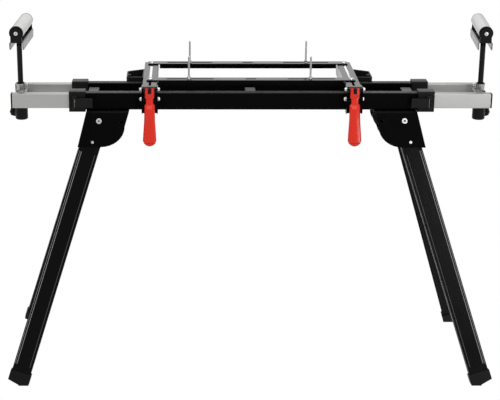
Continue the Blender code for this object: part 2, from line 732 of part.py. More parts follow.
def make_pivot_bolt(side, row):
    """The bolt crosses its bracket, and its shoulder fills the half without a leg."""
    half = leg_half(side)
    centre = -LEG_OFFSET * half
    plate = BRACKET_INSIDE / 2 + BRACKET_STEEL + GAP
    outer, inner = centre + plate, centre - plate
    nut, head = inner - PIVOT_HEAD_THICKNESS, outer + PIVOT_HEAD_THICKNESS
    socket = head - PIVOT_SOCKET_DEPTH
    low, high = sorted((-half * (LEG_THICKNESS / 2 + GAP),
                        -half * (BRACKET_INSIDE / 2 + LEG_OFFSET - GAP)))
    profile = [(0.0, nut), (PIVOT_HEAD_RADIUS, nut), (PIVOT_HEAD_RADIUS, inner),
               (PIVOT_BOLT_RADIUS, inner), (PIVOT_BOLT_RADIUS, low), (SHOULDER_RADIUS, low),
               (SHOULDER_RADIUS, high), (PIVOT_BOLT_RADIUS, high), (PIVOT_BOLT_RADIUS, outer),
               (PIVOT_HEAD_RADIUS, outer), (PIVOT_HEAD_RADIUS, head),
               (PIVOT_SOCKET_RADIUS, head), (PIVOT_SOCKET_RADIUS, socket), (0.0, socket)]
    name = "leg_pivot_bolt_" + ROW_NAMES[row] + "_" + SIDE_NAMES[side]
    add_object(name, lathe(profile, SMALL_ROUND), "zinc",
               leg_frame(side, row) @ turn_to((0.0, row, 0.0)), smooth=True)


def head_clip():
    """What clips a corner of a leg's head, so that the leg turns under the web."""
    cut = LEG_HEAD_CHAMFER + OVERRUN
    corner = (LEG_WIDTH / 2 + OVERRUN, LEG_HEAD + OVERRUN)
    return [corner, (corner[0] - OVERRUN - cut, corner[1]),
            (corner[0], corner[1] - OVERRUN - cut)]


def make_leg(side, row):
    """The ribbed tube, with clipped corners at its head, bored for its pivot bolt and
    its lock button."""
    name = ROW_NAMES[row] + "_" + SIDE_NAMES[side]
    matrix = leg_matrix(side, row)
    inner = rectangle(LEG_WIDTH - 2 * LEG_WALL, LEG_THICKNESS - 2 * LEG_WALL,
                      (side * LEG_SET, 0.0))
    bottom = -(leg_length(side) - BOOT_SOLE)
    leg = add_object("leg_" + name, prism(leg_outline(side), bottom, LEG_HEAD, "z", [inner]),
                     "black_anodised", matrix)
    reach = LEG_THICKNESS / 2 + OVERRUN
    drill = cylinder(PIVOT_BOLT_RADIUS + GAP, -reach, reach, (0, 1, 0), (0, 0, 0), SMALL_ROUND)
    lock = (0.0, 0.0, -LOCK_RADIUS)
    cylinder(BUTTON_RADIUS + GAP, 0.0, row * reach, (0, 1, 0), lock, SMALL_ROUND, drill)
    for sign in (-1, 1):
        clip = [(side * LEG_SET + sign * x, z) for x, z in head_clip()]
        prism(clip, -reach, reach, "y", mesh_data=drill)
    combine(leg, add_cutter("leg_" + name + "_holes", drill, matrix), "DIFFERENCE")
    return leg


def make_boot(side, row):
    """A deep cup on the leg's end, cut flat by the floor and bevelled at its toe."""
    name = ROW_NAMES[row] + "_" + SIDE_NAMES[side]
    matrix = leg_matrix(side, row)
    length, splay = leg_length(side), leg_splay(side)
    half = LEG_WIDTH / 2 + GAP + BOOT_SIDE_WALL
    heel, outer = LEG_SET - half, LEG_SET + half
    toe = (BOOT_TOE_RISE - outer * math.sin(splay)) / math.cos(splay)
    outline = [(heel, BOOT_HEIGHT), (heel, -OVERRUN), (0.0, -OVERRUN), (0.0, 0.0),
               (outer, toe), (outer, BOOT_HEIGHT)]
    points = [(side * x, z - length) for x, z in outline]
    deep = LEG_THICKNESS / 2 + GAP + BOOT_FACE_WALL
    boot = add_object("foot_" + name, prism(points, -deep, deep, "y"), "black_rubber", matrix)
    middle = side * LEG_SET
    pocket_w = LEG_WIDTH / 2 + GAP
    pocket_d = LEG_THICKNESS / 2 + GAP
    floor_z = BOOT_SOLE - GAP - length
    pocket = block((middle - pocket_w, -pocket_d, floor_z),
                   (middle + pocket_w, pocket_d, BOOT_HEIGHT - length + OVERRUN))
    combine(boot, add_cutter("foot_" + name + "_pocket", pocket, matrix), "DIFFERENCE")
    ground = block((side * FOOT_X - LEG_WIDTH * 2, row * FOOT_Y - LEG_WIDTH * 2, -LEG_WIDTH),
                   (side * FOOT_X + LEG_WIDTH * 2, row * FOOT_Y + LEG_WIDTH * 2, 0.0))
    combine(boot, add_cutter("foot_" + name + "_floor", ground), "DIFFERENCE")
    return boot


def make_lock_button(side, row):
    """A plunger in the leg. It rests level with the plate's inner face and slides
    out into the plate's hole."""
    name = "lock_button_" + ROW_NAMES[row] + "_" + SIDE_NAMES[side]
    matrix = leg_matrix(side, row) @ turn_to((0.0, row, 0.0), (0.0, 0.0, -LOCK_RADIUS))
    tip = BRACKET_INSIDE / 2 - LEG_OFFSET * leg_half(side) - GAP
    lip = LEG_THICKNESS / 2 - LEG_WALL - GAP - BUTTON_TRAVEL
    seat, bevel = lip - BUTTON_LIP, BUTTON_LIP
    profile = [(0.0, seat), (BUTTON_LIP_RADIUS, seat), (BUTTON_LIP_RADIUS, lip),
               (BUTTON_RADIUS, lip), (BUTTON_RADIUS, tip - bevel), (BUTTON_RADIUS - bevel, tip),
               (0.0, tip)]
    return add_object(name, lathe(profile, SMALL_ROUND), "zinc", matrix, smooth=True)


def make_legs():
    for side in (LEFT, RIGHT):
        for row in (FRONT, BACK):
            make_leg_bracket(side, row)
            make_pivot_bolt(side, row)
            leg = make_leg(side, row)
            attach(make_boot(side, row), leg)
            attach(make_lock_button(side, row), leg)


# Extensions
def make_extension(side):
    """Two sliding tubes and the crossbar welded between them, with a cap on each
    tube's end."""
    name = "extension_" + SIDE_NAMES[side]
    far, near = side * EXTENSION_END, side * (EXTENSION_END - EXTENSION_LENGTH)
    cap = side * (EXTENSION_END + GAP)
    cap_end = side * (EXTENSION_END + GAP + CAP_THICKNESS)
    solids = {}
    for row in (FRONT, BACK):
        centre = (row * RAIL_Y, RAIL_MIDDLE)
        outer = rectangle(EXTENSION_DEPTH, EXTENSION_HEIGHT, centre, EXTENSION_CORNER)
        inner = rectangle(EXTENSION_DEPTH - 2 * EXTENSION_WALL,
                          EXTENSION_HEIGHT - 2 * EXTENSION_WALL, centre)
        solids[row] = prism(outer, near, far, "x", [inner])
        add_object("end_cap_" + ROW_NAMES[row] + "_" + SIDE_NAMES[side],
                   prism(outer, cap, cap_end, "x"), "black_plastic")
    frame = add_object(name, solids[FRONT], "silver_anodised")
    combine(frame, add_cutter(name + "_back_tube", solids[BACK]), "UNION")
    centre = (side * POST_X, CROSSBAR_TOP - CROSSBAR_HEIGHT / 2)
    outer = rectangle(CROSSBAR_WIDTH, CROSSBAR_HEIGHT, centre, EXTENSION_CORNER)
    inner = rectangle(CROSSBAR_WIDTH - 2 * EXTENSION_WALL,
                      CROSSBAR_HEIGHT - 2 * EXTENSION_WALL, centre)
    reach = EXTENSION_INSIDE_FACE + EXTENSION_WALL / 2
    crossbar = prism(outer, -reach, reach, "y", [inner])
    combine(frame, add_cutter(name + "_crossbar", crossbar), "UNION")
    bore = cylinder(POST_RADIUS + POST_BORE_GAP, -CROSSBAR_HEIGHT, CROSSBAR_HEIGHT, (0, 0, 1),
                    (centre[0], 0.0, centre[1]), SMALL_ROUND)
    combine(frame, add_cutter(name + "_bore", bore), "DIFFERENCE")


def make_post_sleeve(side):
    """The silver guide on the crossbar: a flange, an upright tube and its rim."""
    bore = POST_RADIUS + POST_BORE_GAP
    foot = CROSSBAR_TOP + GAP
    place = Matrix.Translation((side * POST_X, 0.0, foot))
    flange = rectangle(SLEEVE_FLANGE_X, SLEEVE_FLANGE_Y, corner=SLEEVE_FLANGE_THICKNESS)
    hole = circle(bore + BUSH_WALL, ROUND)
    name = "post_sleeve_" + SIDE_NAMES[side]
    sleeve = add_object(name, prism(flange, 0.0, SLEEVE_FLANGE_THICKNESS, "z", [hole]),
                        "silver_anodised", place, smooth=True)
    tube = prism(circle(SLEEVE_RADIUS, ROUND), SLEEVE_FLANGE_THICKNESS / 2, SLEEVE_HEIGHT, "z",
                 [hole])
    combine(sleeve, add_cutter(name + "_tube", tube, place), "UNION")
    rim = prism(circle(RIM_RADIUS, ROUND), SLEEVE_HEIGHT - RIM_HEIGHT,
                SLEEVE_HEIGHT + RIM_HEIGHT / 2, "z", [hole])
    combine(sleeve, add_cutter(name + "_rim", rim, place), "UNION")


def make_post_bush(side):
    """A collared plastic bush in the sleeve. It turns with the post, which slides
    through it."""
    inner, outer = POST_RADIUS + POST_BORE_GAP, POST_RADIUS + BUSH_WALL
    low = CROSSBAR_TOP + 2 * GAP
    rim = CROSSBAR_TOP + GAP + SLEEVE_HEIGHT + RIM_HEIGHT / 2 + GAP
    profile = [(inner, low), (outer, low), (outer, rim), (BUSH_RIM_RADIUS, rim),
               (BUSH_RIM_RADIUS, rim + BUSH_RIM_HEIGHT), (inner, rim + BUSH_RIM_HEIGHT)]
    add_object("post_bush_" + SIDE_NAMES[side], lathe(profile, ROUND), "black_plastic",
               Matrix.Translation((side * POST_X, 0.0, 0.0)), smooth=True)


def knob_direction(side):
    angle = math.radians(KNOB_DEGREES)
    return Vector((side * math.cos(angle), math.sin(angle), 0.0))


def make_post_socket(side):
    """The black socket under the crossbar, with its boss for the knob."""
    name = "post_socket_" + SIDE_NAMES[side]
    bore = POST_RADIUS + POST_BORE_GAP
    top = CROSSBAR_TOP - CROSSBAR_HEIGHT - GAP
    bottom = RAIL_BOTTOM - SOCKET_BOTTOM_DROP
    place = Matrix.Translation((side * POST_X, 0.0, 0.0))
    profile = [(bore, bottom), (SOCKET_RADIUS - SOCKET_CHAMFER, bottom),
               (SOCKET_RADIUS, bottom + SOCKET_CHAMFER), (SOCKET_RADIUS, top), (bore, top)]
    socket = add_object(name, lathe(profile, ROUND), "black_plastic", place, smooth=True)
    axis = (0.0, 0.0, RAIL_BOTTOM - KNOB_DROP)
    start = SOCKET_RADIUS - SOCKET_CHAMFER
    boss = cylinder(KNOB_BOSS_RADIUS, start, KNOB_BOSS_REACH, knob_direction(side), axis,
                    SMALL_ROUND)
    combine(socket, add_cutter(name + "_boss", boss, place), "UNION")
    stem = cylinder(KNOB_STEM_RADIUS + GAP, bore / 2, KNOB_BOSS_REACH + OVERRUN,
                    knob_direction(side), axis, SMALL_ROUND)
    combine(socket, add_cutter(name + "_stem_bore", stem, place), "DIFFERENCE")


def knob_ring(inset, height):
    """One level of the knob's lobed rim."""
    points = []
    for i in range(KNOB_LOBES * 4):
        angle = 2 * math.pi * i / (KNOB_LOBES * 4)
        dip = KNOB_LOBE_DEPTH * (1 - math.cos(KNOB_LOBES * angle)) / 2
        radius = KNOB_RADIUS - inset - dip
        points.append((radius * math.cos(angle), radius * math.sin(angle), height))
    return points


def make_post_knob(side):
    axis = (side * POST_X, 0.0, RAIL_BOTTOM - KNOB_DROP)
    place = turn_to(knob_direction(side), axis)
    low = KNOB_BOSS_REACH + GAP
    high = low + KNOB_THICKNESS
    rim = [knob_ring(KNOB_CHAMFER, low), knob_ring(0.0, low + KNOB_CHAMFER),
           knob_ring(0.0, high - KNOB_CHAMFER), knob_ring(KNOB_CHAMFER, high)]
    name = "post_knob_" + SIDE_NAMES[side]
    knob = add_object(name, loft(rim), "black_plastic", place, smooth=True)
    stem = cylinder(KNOB_STEM_RADIUS, POST_RADIUS + 2 * POST_BORE_GAP, low + KNOB_CHAMFER,
                    (0, 0, 1), (0, 0, 0), SMALL_ROUND)
    combine(knob, add_cutter(name + "_stem", stem, place), "UNION")


# Roller supports
def cradle_matrix(side):
    """Origin on the post's axis; y runs back along the roller."""
    turn = Matrix.Rotation(-math.radians(REST_SWIVEL_DEGREES[side]), 4, "Z")
    return Matrix.Translation((side * POST_X, 0.0, 0.0)) @ turn


def cradle_section():
    """An upside-down channel."""
    half, steel, bend = CRADLE_WIDTH / 2, CRADLE_STEEL, CRADLE_BEND
    top, low = CRADLE_TOP_Z, CRADLE_TOP_Z - CRADLE_WALL_HEIGHT
    return [(-half, low), (-half + steel, low), (-half + steel, top - steel),
            (half - steel, top - steel), (half - steel, low), (half, low),
            (half, top - bend), (half - bend, top), (-half + bend, top), (-half, top - bend)]


def corner_cut(end_y, inward):
    """What rounds off the channel's lower corner at one end."""
    low = CRADLE_TOP_Z - CRADLE_WALL_HEIGHT
    centre = (end_y + inward * CRADLE_CORNER, low + CRADLE_CORNER)
    curve = [(centre[0] - inward * CRADLE_CORNER * math.cos(math.pi / 2 * i / ARC_STEPS),
              centre[1] - CRADLE_CORNER * math.sin(math.pi / 2 * i / ARC_STEPS))
             for i in range(ARC_STEPS + 1)]
    outside = end_y - inward * OVERRUN
    return curve + [(centre[0], low - OVERRUN), (outside, low - OVERRUN), (outside, centre[1])]


def plate_outline():
    """End view of an upright plate: an arch round the axle on straight sides that
    reach into the channel's top."""
    foot = CRADLE_TOP_Z - CRADLE_STEEL / 2
    half = PLATE_FOOT_WIDTH / 2
    curve = arc((0.0, ROLLER_AXIS_Z), PLATE_RADIUS, 0.0, math.pi, ROUND // 2)
    return curve + [(-half, foot), (half, foot)]


def axle_profile():
    """Screw heads outside the plates, then a spacer and a disc behind each plate."""
    start, end = -FRONT_REACH, CRADLE_LENGTH - FRONT_REACH
    front, back = start - AXLE_HEAD_THICKNESS, end + AXLE_HEAD_THICKNESS
    inner, outer = PLATE_THICKNESS, PLATE_THICKNESS - DISC_THICKNESS
    return [(0.0, front), (AXLE_HEAD_RADIUS, front), (AXLE_HEAD_RADIUS, start + outer),
            (DISC_RADIUS, start + outer), (DISC_RADIUS, start + inner),
            (AXLE_RADIUS, start + inner), (AXLE_RADIUS, end - inner),
            (DISC_RADIUS, end - inner), (DISC_RADIUS, end - outer),
            (AXLE_HEAD_RADIUS, end - outer), (AXLE_HEAD_RADIUS, back), (0.0, back)]


def roller_axis(side):
    return (cradle_matrix(side) @ Matrix.Translation((0.0, 0.0, ROLLER_AXIS_Z))
            @ turn_to((0.0, 1.0, 0.0)))


def make_roller_post(side):
    """The round post and what is welded or riveted to it: the channel, its two end
    plates and the roller's axle."""
    name = "roller_post_" + SIDE_NAMES[side]
    matrix = cradle_matrix(side)
    top = CRADLE_TOP_Z - CRADLE_STEEL / 2
    bottom = RAIL_BOTTOM - SOCKET_BOTTOM_DROP + POST_FOOT_CLEAR
    inner = POST_RADIUS - POST_WALL
    profile = [(inner, bottom), (POST_RADIUS, bottom), (POST_RADIUS, top), (inner, top)]
    post = add_object(name, lathe(profile, ROUND), "black_gloss", matrix, smooth=True)
    start, end = -FRONT_REACH, CRADLE_LENGTH - FRONT_REACH
    channel = prism(cradle_section(), start, end, "y")
    combine(post, add_cutter(name + "_channel", channel, matrix), "UNION")
    wide = CRADLE_WIDTH / 2 + OVERRUN
    corners = prism(corner_cut(start, 1), -wide, wide, "x")
    prism(corner_cut(end, -1), -wide, wide, "x", mesh_data=corners)
    combine(post, add_cutter(name + "_corners", corners, matrix), "DIFFERENCE")
    inset = GAP
    plates = prism(plate_outline(), start + inset, start + PLATE_STEEL, "y")
    prism(plate_outline(), end - PLATE_STEEL, end - inset, "y", mesh_data=plates)
    combine(post, add_cutter(name + "_plates", plates, matrix), "UNION")
    axle = lathe(axle_profile(), ROUND)
    combine(post, add_cutter(name + "_axle", axle, roller_axis(side)), "UNION")


def make_roller(side):
    """The tube, closed at each end by a hub that runs on the axle."""
    low = -FRONT_REACH + PLATE_THICKNESS + ROLLER_END_RUN
    high = low + ROLLER_LENGTH
    hub, inner = AXLE_RADIUS + GAP, ROLLER_RADIUS - ROLLER_WALL
    profile = [(hub, low), (ROLLER_RADIUS, low), (ROLLER_RADIUS, high), (hub, high),
               (hub, high - HUB_DEPTH), (inner, high - HUB_DEPTH), (inner, low + HUB_DEPTH),
               (hub, low + HUB_DEPTH)]
    add_object("roller_" + SIDE_NAMES[side], lathe(profile, ROUND), "silver_anodised",
               roller_axis(side), smooth=True)


# Saw mount
def mount_side_outline():
    """Side view of a bracket's flanges: they rest on both rails and hook down
    behind the back one."""
    top, seat = PLATE_TOP, RAIL_TOP + GAP
    tail = RAIL_TOP - MOUNT_TAIL_DROP
    behind = RAIL_OUTSIDE_FACE + GAP
    return [(MOUNT_FRONT_Y, top), (MOUNT_FRONT_Y, seat), (behind, seat), (behind, tail),
            (MOUNT_BACK_Y - MOUNT_TAIL_CHAMFER, tail),
            (MOUNT_BACK_Y, tail + MOUNT_TAIL_CHAMFER), (MOUNT_BACK_Y, top)]


def housing_outline():
    """Side view of a clamp housing's cheeks, in front of the front rail."""
    lap = -RAIL_OUTSIDE_FACE + HOUSING_LAP
    face = -(RAIL_OUTSIDE_FACE + GAP)
    front = face - HOUSING_DEPTH
    low, cut = RAIL_BOTTOM - HOUSING_BELOW, HOUSING_CHAMFER
    top = PLATE_TOP - MOUNT_STEEL / 2
    return [(lap, top), (lap, RAIL_TOP + GAP), (face, RAIL_TOP + GAP), (face, low),
            (front + cut, low), (front, low + cut), (front, top - cut), (front + cut, top)]


def make_mount_bracket(side):
    """A folded channel with a long slot, and a clamp housing at its front with the
    two pins riveted across it."""
    name = "mount_bracket_" + SIDE_NAMES[side]
    centre, half = side * MOUNT_X, MOUNT_WIDTH / 2
    low = RAIL_TOP - MOUNT_TAIL_DROP - OVERRUN
    steel = MOUNT_STEEL
    section = [(-half, low), (-half + steel, low), (-half + steel, PLATE_TOP - steel),
               (half - steel, PLATE_TOP - steel), (half - steel, low), (half, low),
               (half, PLATE_TOP - steel / 2), (half - steel / 2, PLATE_TOP),
               (-half + steel / 2, PLATE_TOP), (-half, PLATE_TOP - steel / 2)]
    section = [(centre + x, z) for x, z in section]
    front, back = MOUNT_FRONT_Y - OVERRUN, MOUNT_BACK_Y + OVERRUN
    bracket = add_object(name, prism(section, front, back, "y"), "black_gloss")
    wide = half + OVERRUN
    outline = prism(mount_side_outline(), centre - wide, centre + wide, "x")
    combine(bracket, add_cutter(name + "_outline", outline), "INTERSECT")
    length = MOUNT_BACK_Y - MOUNT_FRONT_Y - 2 * MOUNT_SLOT_INSET
    middle = (MOUNT_BACK_Y + MOUNT_FRONT_Y) / 2
    hole = [(centre + b, a) for a, b in slot(length, MOUNT_SLOT_WIDTH, (middle, 0.0))]
    cut = prism(hole, PLATE_TOP - steel - OVERRUN, PLATE_TOP + OVERRUN, "z")
    combine(bracket, add_cutter(name + "_slot", cut), "DIFFERENCE")
    outer = HOUSING_WIDTH / 2
    for index, sign in enumerate((-1, 1)):
        ends = sorted((centre + sign * outer, centre + sign * (outer - HOUSING_STEEL)))
        cheek = prism(housing_outline(), ends[0], ends[1], "x")
        combine(bracket, add_cutter(name + "_cheek_" + str(index), cheek), "UNION")
    pins = bmesh.new()
    reach = outer - HOUSING_STEEL / 2
    web_y = -(RAIL_OUTSIDE_FACE + GAP) - HOUSING_DEPTH + HOUSING_WEB_SETBACK
    web_z = RAIL_BOTTOM - HOUSING_BELOW + HOUSING_STEEL / 2
    web = block((centre - reach, web_y, web_z),
                (centre + reach, web_y + HOUSING_STEEL, web_z + HOUSING_WEB_HEIGHT))
    combine(bracket, add_cutter(name + "_web", web), "UNION")
    end = outer + CLAMP_PIN_HEAD_THICKNESS
    bevel = CLAMP_PIN_HEAD_THICKNESS / 2
    for y, z in clamp_pin_places():
        profile = [(0.0, -end), (CLAMP_PIN_HEAD - bevel, -end), (CLAMP_PIN_HEAD, bevel - end),
                   (CLAMP_PIN_HEAD, -reach), (CLAMP_PIN_RADIUS, -reach),
                   (CLAMP_PIN_RADIUS, reach), (CLAMP_PIN_HEAD, reach),
                   (CLAMP_PIN_HEAD, end - bevel), (CLAMP_PIN_HEAD - bevel, end), (0.0, end)]
        lathe(profile, SMALL_ROUND, turn_to((1, 0, 0), (centre, y, z)), pins)
    combine(bracket, add_cutter(name + "_pins", pins), "UNION")


def clamp_pin_places():
    """The lever turns on the upper pin and the jaw on the lower one."""
    return (LEVER_PIN_Y, LEVER_PIN_Z), (JAW_PIN_Y, JAW_PIN_Z)


def lever_section(half_width, half_depth, forward, height, sides=16):
    """A rounded section of the lever, with its middle this far in front of the pin."""
    points = []
    for i in range(sides):
        angle = 2 * math.pi * i / sides
        cos, sin = math.cos(angle), math.sin(angle)
        stretch = (abs(cos) ** 4 + abs(sin) ** 4) ** -0.25
        points.append((half_width * cos * stretch, half_depth * sin * stretch - forward, -height))
    return points


LEVER_STATION_SHARES = (-0.020, 0.085, 0.150, 0.175, 0.245, 0.285, 0.350, 0.550, 0.900)
LEVER_END_SHARES = (0.955, 0.985, 1.000)
LEVER_END_WIDTH_SHARES = (0.80, 0.50, 0.15)


def make_clamp_lever(side):
    """The red handle: a cam on the pin, a notched head in front of it, a neck, and a
    grip that widens to a rounded end."""
    name = "clamp_lever_" + SIDE_NAMES[side]
    lean = Matrix.Rotation(-math.radians(LEVER_LEAN_DEGREES), 4, "X")
    place = Matrix.Translation((side * MOUNT_X, LEVER_PIN_Y, LEVER_PIN_Z)) @ lean
    thin, thick = LEVER_NECK_THICKNESS / 2, LEVER_GRIP_THICKNESS / 2
    head, forward = LEVER_HEAD_THICKNESS / 2, LEVER_HEAD_FORWARD
    halves = [(LEVER_HEAD_HALF, head, forward), (LEVER_HEAD_HALF, head, forward),
              (LEVER_HEAD_HALF, thin, 0.0), (LEVER_NECK_HALF, thin, 0.0),
              (LEVER_NECK_HALF, thin, 0.0), (LEVER_GRIP_TOP_HALF, thin, 0.0),
              (LEVER_GRIP_TOP_HALF, thick, 0.0), (LEVER_GRIP_TOP_HALF, thick, 0.0),
              (LEVER_GRIP_END_HALF, thick, 0.0)]
    sections = [lever_section(wide, deep, ahead, share * LEVER_LENGTH)
                for (wide, deep, ahead), share in zip(halves, LEVER_STATION_SHARES)]
    sections += [lever_section(LEVER_GRIP_END_HALF * wide, thick * wide, 0.0,
                               share * LEVER_LENGTH)
                 for wide, share in zip(LEVER_END_WIDTH_SHARES, LEVER_END_SHARES)]
    lever = add_object(name, loft(sections), "red_plastic", place, smooth=True)
    deep, wide = head + forward + OVERRUN, LEVER_NOTCH_WIDTH / 2
    notch = block((-wide, -deep, -LEVER_NOTCH_DROP), (wide, deep, OVERRUN * 2))
    combine(lever, add_cutter(name + "_notch", notch, place), "DIFFERENCE")
    half = LEVER_CAM_WIDTH / 2
    cam = prism(circle(LEVER_CAM_RADIUS, ROUND, (0.0, -LEVER_CAM_THROW)), -half, half, "x")
    combine(lever, add_cutter(name + "_cam", cam, place), "UNION")
    bore = prism(circle(CLAMP_PIN_RADIUS + LEVER_BORE_GAP, SMALL_ROUND), -half - OVERRUN,
                 half + OVERRUN, "x")
    combine(lever, add_cutter(name + "_bore", bore, place), "DIFFERENCE")


def make_clamp_jaw(side):
    """A rocker on the lower pin. Its foot presses the rail's front face when the
    lever's cam pushes down the two fingers, one on each side of the lever."""
    name = "clamp_jaw_" + SIDE_NAMES[side]
    place = Matrix.Translation((side * MOUNT_X, JAW_PIN_Y, JAW_PIN_Z))
    face = -(RAIL_OUTSIDE_FACE + GAP) - JAW_PIN_Y
    foot = RAIL_BOTTOM - JAW_PIN_Z + GAP
    relief, front = face - JAW_RELIEF, face - JAW_THICKNESS
    pad = foot + JAW_PAD_HEIGHT
    outline = [(face, foot), (face, pad), (relief, pad + JAW_RELIEF), (relief, JAW_HEAD_RADIUS),
               (relief - JAW_THICKNESS, JAW_HEAD_RADIUS), (front, foot)]
    half = JAW_WIDTH / 2
    jaw = add_object(name, prism(outline, -half, half, "x"), "black_gloss", place)
    eye = prism(circle(JAW_HEAD_RADIUS, SMALL_ROUND), -half, half, "x")
    combine(jaw, add_cutter(name + "_eye", eye, place), "UNION")
    cam_bottom = LEVER_PIN_Z - LEVER_CAM_RADIUS - LEVER_CAM_THROW
    tip_y, tip_z = LEVER_PIN_Y - JAW_PIN_Y, cam_bottom - JAW_PIN_Z - 2 * GAP
    reach = FINGER_DEPTH / 2
    finger = [(tip_y - reach, tip_z - FINGER_DEPTH), (tip_y - reach, tip_z),
              (tip_y + reach, tip_z), (JAW_HEAD_RADIUS / 2, JAW_HEAD_RADIUS / 2),
              (-JAW_HEAD_RADIUS / 2, -JAW_HEAD_RADIUS / 2)]
    fingers = prism(finger, half - FINGER_WIDTH, half - GAP, "x")
    prism(finger, GAP - half, FINGER_WIDTH - half, "x", mesh_data=fingers)
    combine(jaw, add_cutter(name + "_fingers", fingers, place), "UNION")
    bore = prism(circle(CLAMP_PIN_RADIUS + GAP, SMALL_ROUND), -half - OVERRUN, half + OVERRUN,
                 "x")
    combine(jaw, add_cutter(name + "_bore", bore, place), "DIFFERENCE")


def bar_slots():
    middle = slot(2 * BAR_MIDDLE_SLOT_HALF, BAR_SLOT_WIDTH, (0.0, 0.0))
    ends = [slot(2 * BAR_SLOT_HALF, BAR_SLOT_WIDTH, (side * BAR_SLOT_CENTRE, 0.0))
            for side in (LEFT, RIGHT)]
    return [middle] + ends


def corner_screws():
    """Screws from a bar's ends down through the brackets' slots, to a nut under
    each plate. Heights are from the bar's underside."""
    data = bmesh.new()
    top = BAR_STEEL + CORNER_HEAD_HEIGHT
    rim = CORNER_HEAD_RADIUS - CORNER_HEAD_HEIGHT / 2
    below = -2 * GAP - MOUNT_STEEL
    nut = below - SAW_NUT_HEIGHT
    profile = [(0.0, nut), (SAW_NUT_RADIUS, nut), (SAW_NUT_RADIUS, below),
               (SAW_BOLT_RADIUS, below), (SAW_BOLT_RADIUS, BAR_STEEL / 2),
               (CORNER_HEAD_RADIUS, BAR_STEEL / 2),
               (CORNER_HEAD_RADIUS, top - CORNER_HEAD_HEIGHT / 2), (rim, top), (0.0, top)]
    for side in (LEFT, RIGHT):
        lathe(profile, SMALL_ROUND, Matrix.Translation((side * MOUNT_X, 0.0, 0.0)), data)
    return data


def make_bar(row):
    """A slotted bar across both brackets, with a flange folded down along its
    front edge between them, held by its two corner screws."""
    name = "bar_" + ROW_NAMES[row]
    low = PLATE_TOP + GAP
    centre_y = BAR_FRONT_EDGE_Y[row] + BAR_DEPTH / 2
    outline = rectangle(2 * BAR_HALF_LENGTH, BAR_DEPTH, corner=BAR_CORNER)
    place = Matrix.Translation((0.0, centre_y, low))
    bar = add_object(name, prism(outline, 0.0, BAR_STEEL, "z"), "black_gloss", place)
    cuts = bmesh.new()
    for hole in bar_slots():
        prism(hole, -OVERRUN, BAR_STEEL + OVERRUN, "z", mesh_data=cuts)
    combine(bar, add_cutter(name + "_slots", cuts, place), "DIFFERENCE")
    edge = GAP - BAR_DEPTH / 2
    flange = block((-BAR_FLANGE_HALF, edge, BAR_STEEL - BAR_FLANGE),
                   (BAR_FLANGE_HALF, edge + BAR_STEEL, BAR_STEEL / 2))
    combine(bar, add_cutter(name + "_flange", flange, place), "UNION")
    combine(bar, add_cutter(name + "_screws", corner_screws(), place), "UNION")


def bolt_profile(bottom, washer_z, tip):
    """A bolt from its head under the bar, with washer and nut above it, to its tip."""
    nut_z = washer_z + SAW_WASHER_HEIGHT
    top = nut_z + SAW_NUT_HEIGHT
    head = bottom - SAW_WASHER_HEIGHT
    return [(0.0, head), (SAW_BOLT_HEAD_RADIUS, head), (SAW_BOLT_HEAD_RADIUS, bottom),
            (SAW_BOLT_RADIUS, bottom), (SAW_BOLT_RADIUS, washer_z),
            (SAW_WASHER_RADIUS, washer_z), (SAW_WASHER_RADIUS, nut_z), (SAW_NUT_RADIUS, nut_z),
            (SAW_NUT_RADIUS, top), (SAW_BOLT_RADIUS, top),
            (SAW_BOLT_RADIUS, tip - SAW_BOLT_RADIUS / 3), (SAW_BOLT_RADIUS * 2 / 3, tip),
            (0.0, tip)]


def make_saw_bolt(side, row):
    """An upright bolt in a bar's slot, for one foot of the saw."""
    x = side * BAR_SLOT_CENTRE - (FRONT_BOLT_SHIFT if row == FRONT else 0.0)
    y = BAR_FRONT_EDGE_Y[row] + BAR_DEPTH / 2
    profile = bolt_profile(BAR_TOP - BAR_STEEL - GAP, BAR_TOP + GAP, BAR_TOP + SAW_BOLT_HEIGHT)
    add_object("saw_bolt_" + ROW_NAMES[row] + "_" + SIDE_NAMES[side],
               lathe(profile, SMALL_ROUND), "zinc", Matrix.Translation((x, y, 0.0)), smooth=True)


def make_rear_trays():
    """Moulded trays beside the brackets, behind the back rail. The back edge
    slants, and a round nub stands at the outer end."""
    inner_x = MOUNT_X + MOUNT_WIDTH / 2 + GAP
    outer_x = inner_x + TRAY_WIDTH
    front = RAIL_OUTSIDE_FACE + TRAY_FRONT_GAP
    top = RAIL_TOP + TRAY_RIM
    bottom = top - TRAY_HEIGHT
    for side in (LEFT, RIGHT):
        name = "rear_tray_" + SIDE_NAMES[side]
        outline = [(inner_x, front), (outer_x - TRAY_CORNER, front), (outer_x, front + TRAY_CORNER),
                   (outer_x, front + TRAY_DEPTH_OUTER - TRAY_CORNER),
                   (outer_x - TRAY_CORNER, front + TRAY_DEPTH_OUTER),
                   (inner_x, front + TRAY_DEPTH_INNER)]
        tray = add_object(name, prism([(side * x, y) for x, y in outline], bottom, top, "z"),
                          "black_plastic")
        wall, corner = TRAY_WALL, TRAY_CORNER
        recess = [(inner_x + wall, front + wall), (outer_x - wall, front + wall),
                  (outer_x - wall, front + TRAY_DEPTH_OUTER - wall - corner),
                  (inner_x + wall, front + TRAY_DEPTH_INNER - 2 * wall)]
        hollow = prism([(side * x, y) for x, y in recess], bottom + TRAY_FLOOR, top + OVERRUN, "z")
        combine(tray, add_cutter(name + "_recess", hollow), "DIFFERENCE")
        spot = (side * (outer_x - wall - TRAY_NUB_RADIUS / 2), front + TRAY_DEPTH_OUTER / 2)
        nub = prism(circle(TRAY_NUB_RADIUS, SMALL_ROUND, spot), bottom + TRAY_FLOOR / 2,
                    top - wall / 2, "z")
        combine(tray, add_cutter(name + "_nub", nub), "UNION")


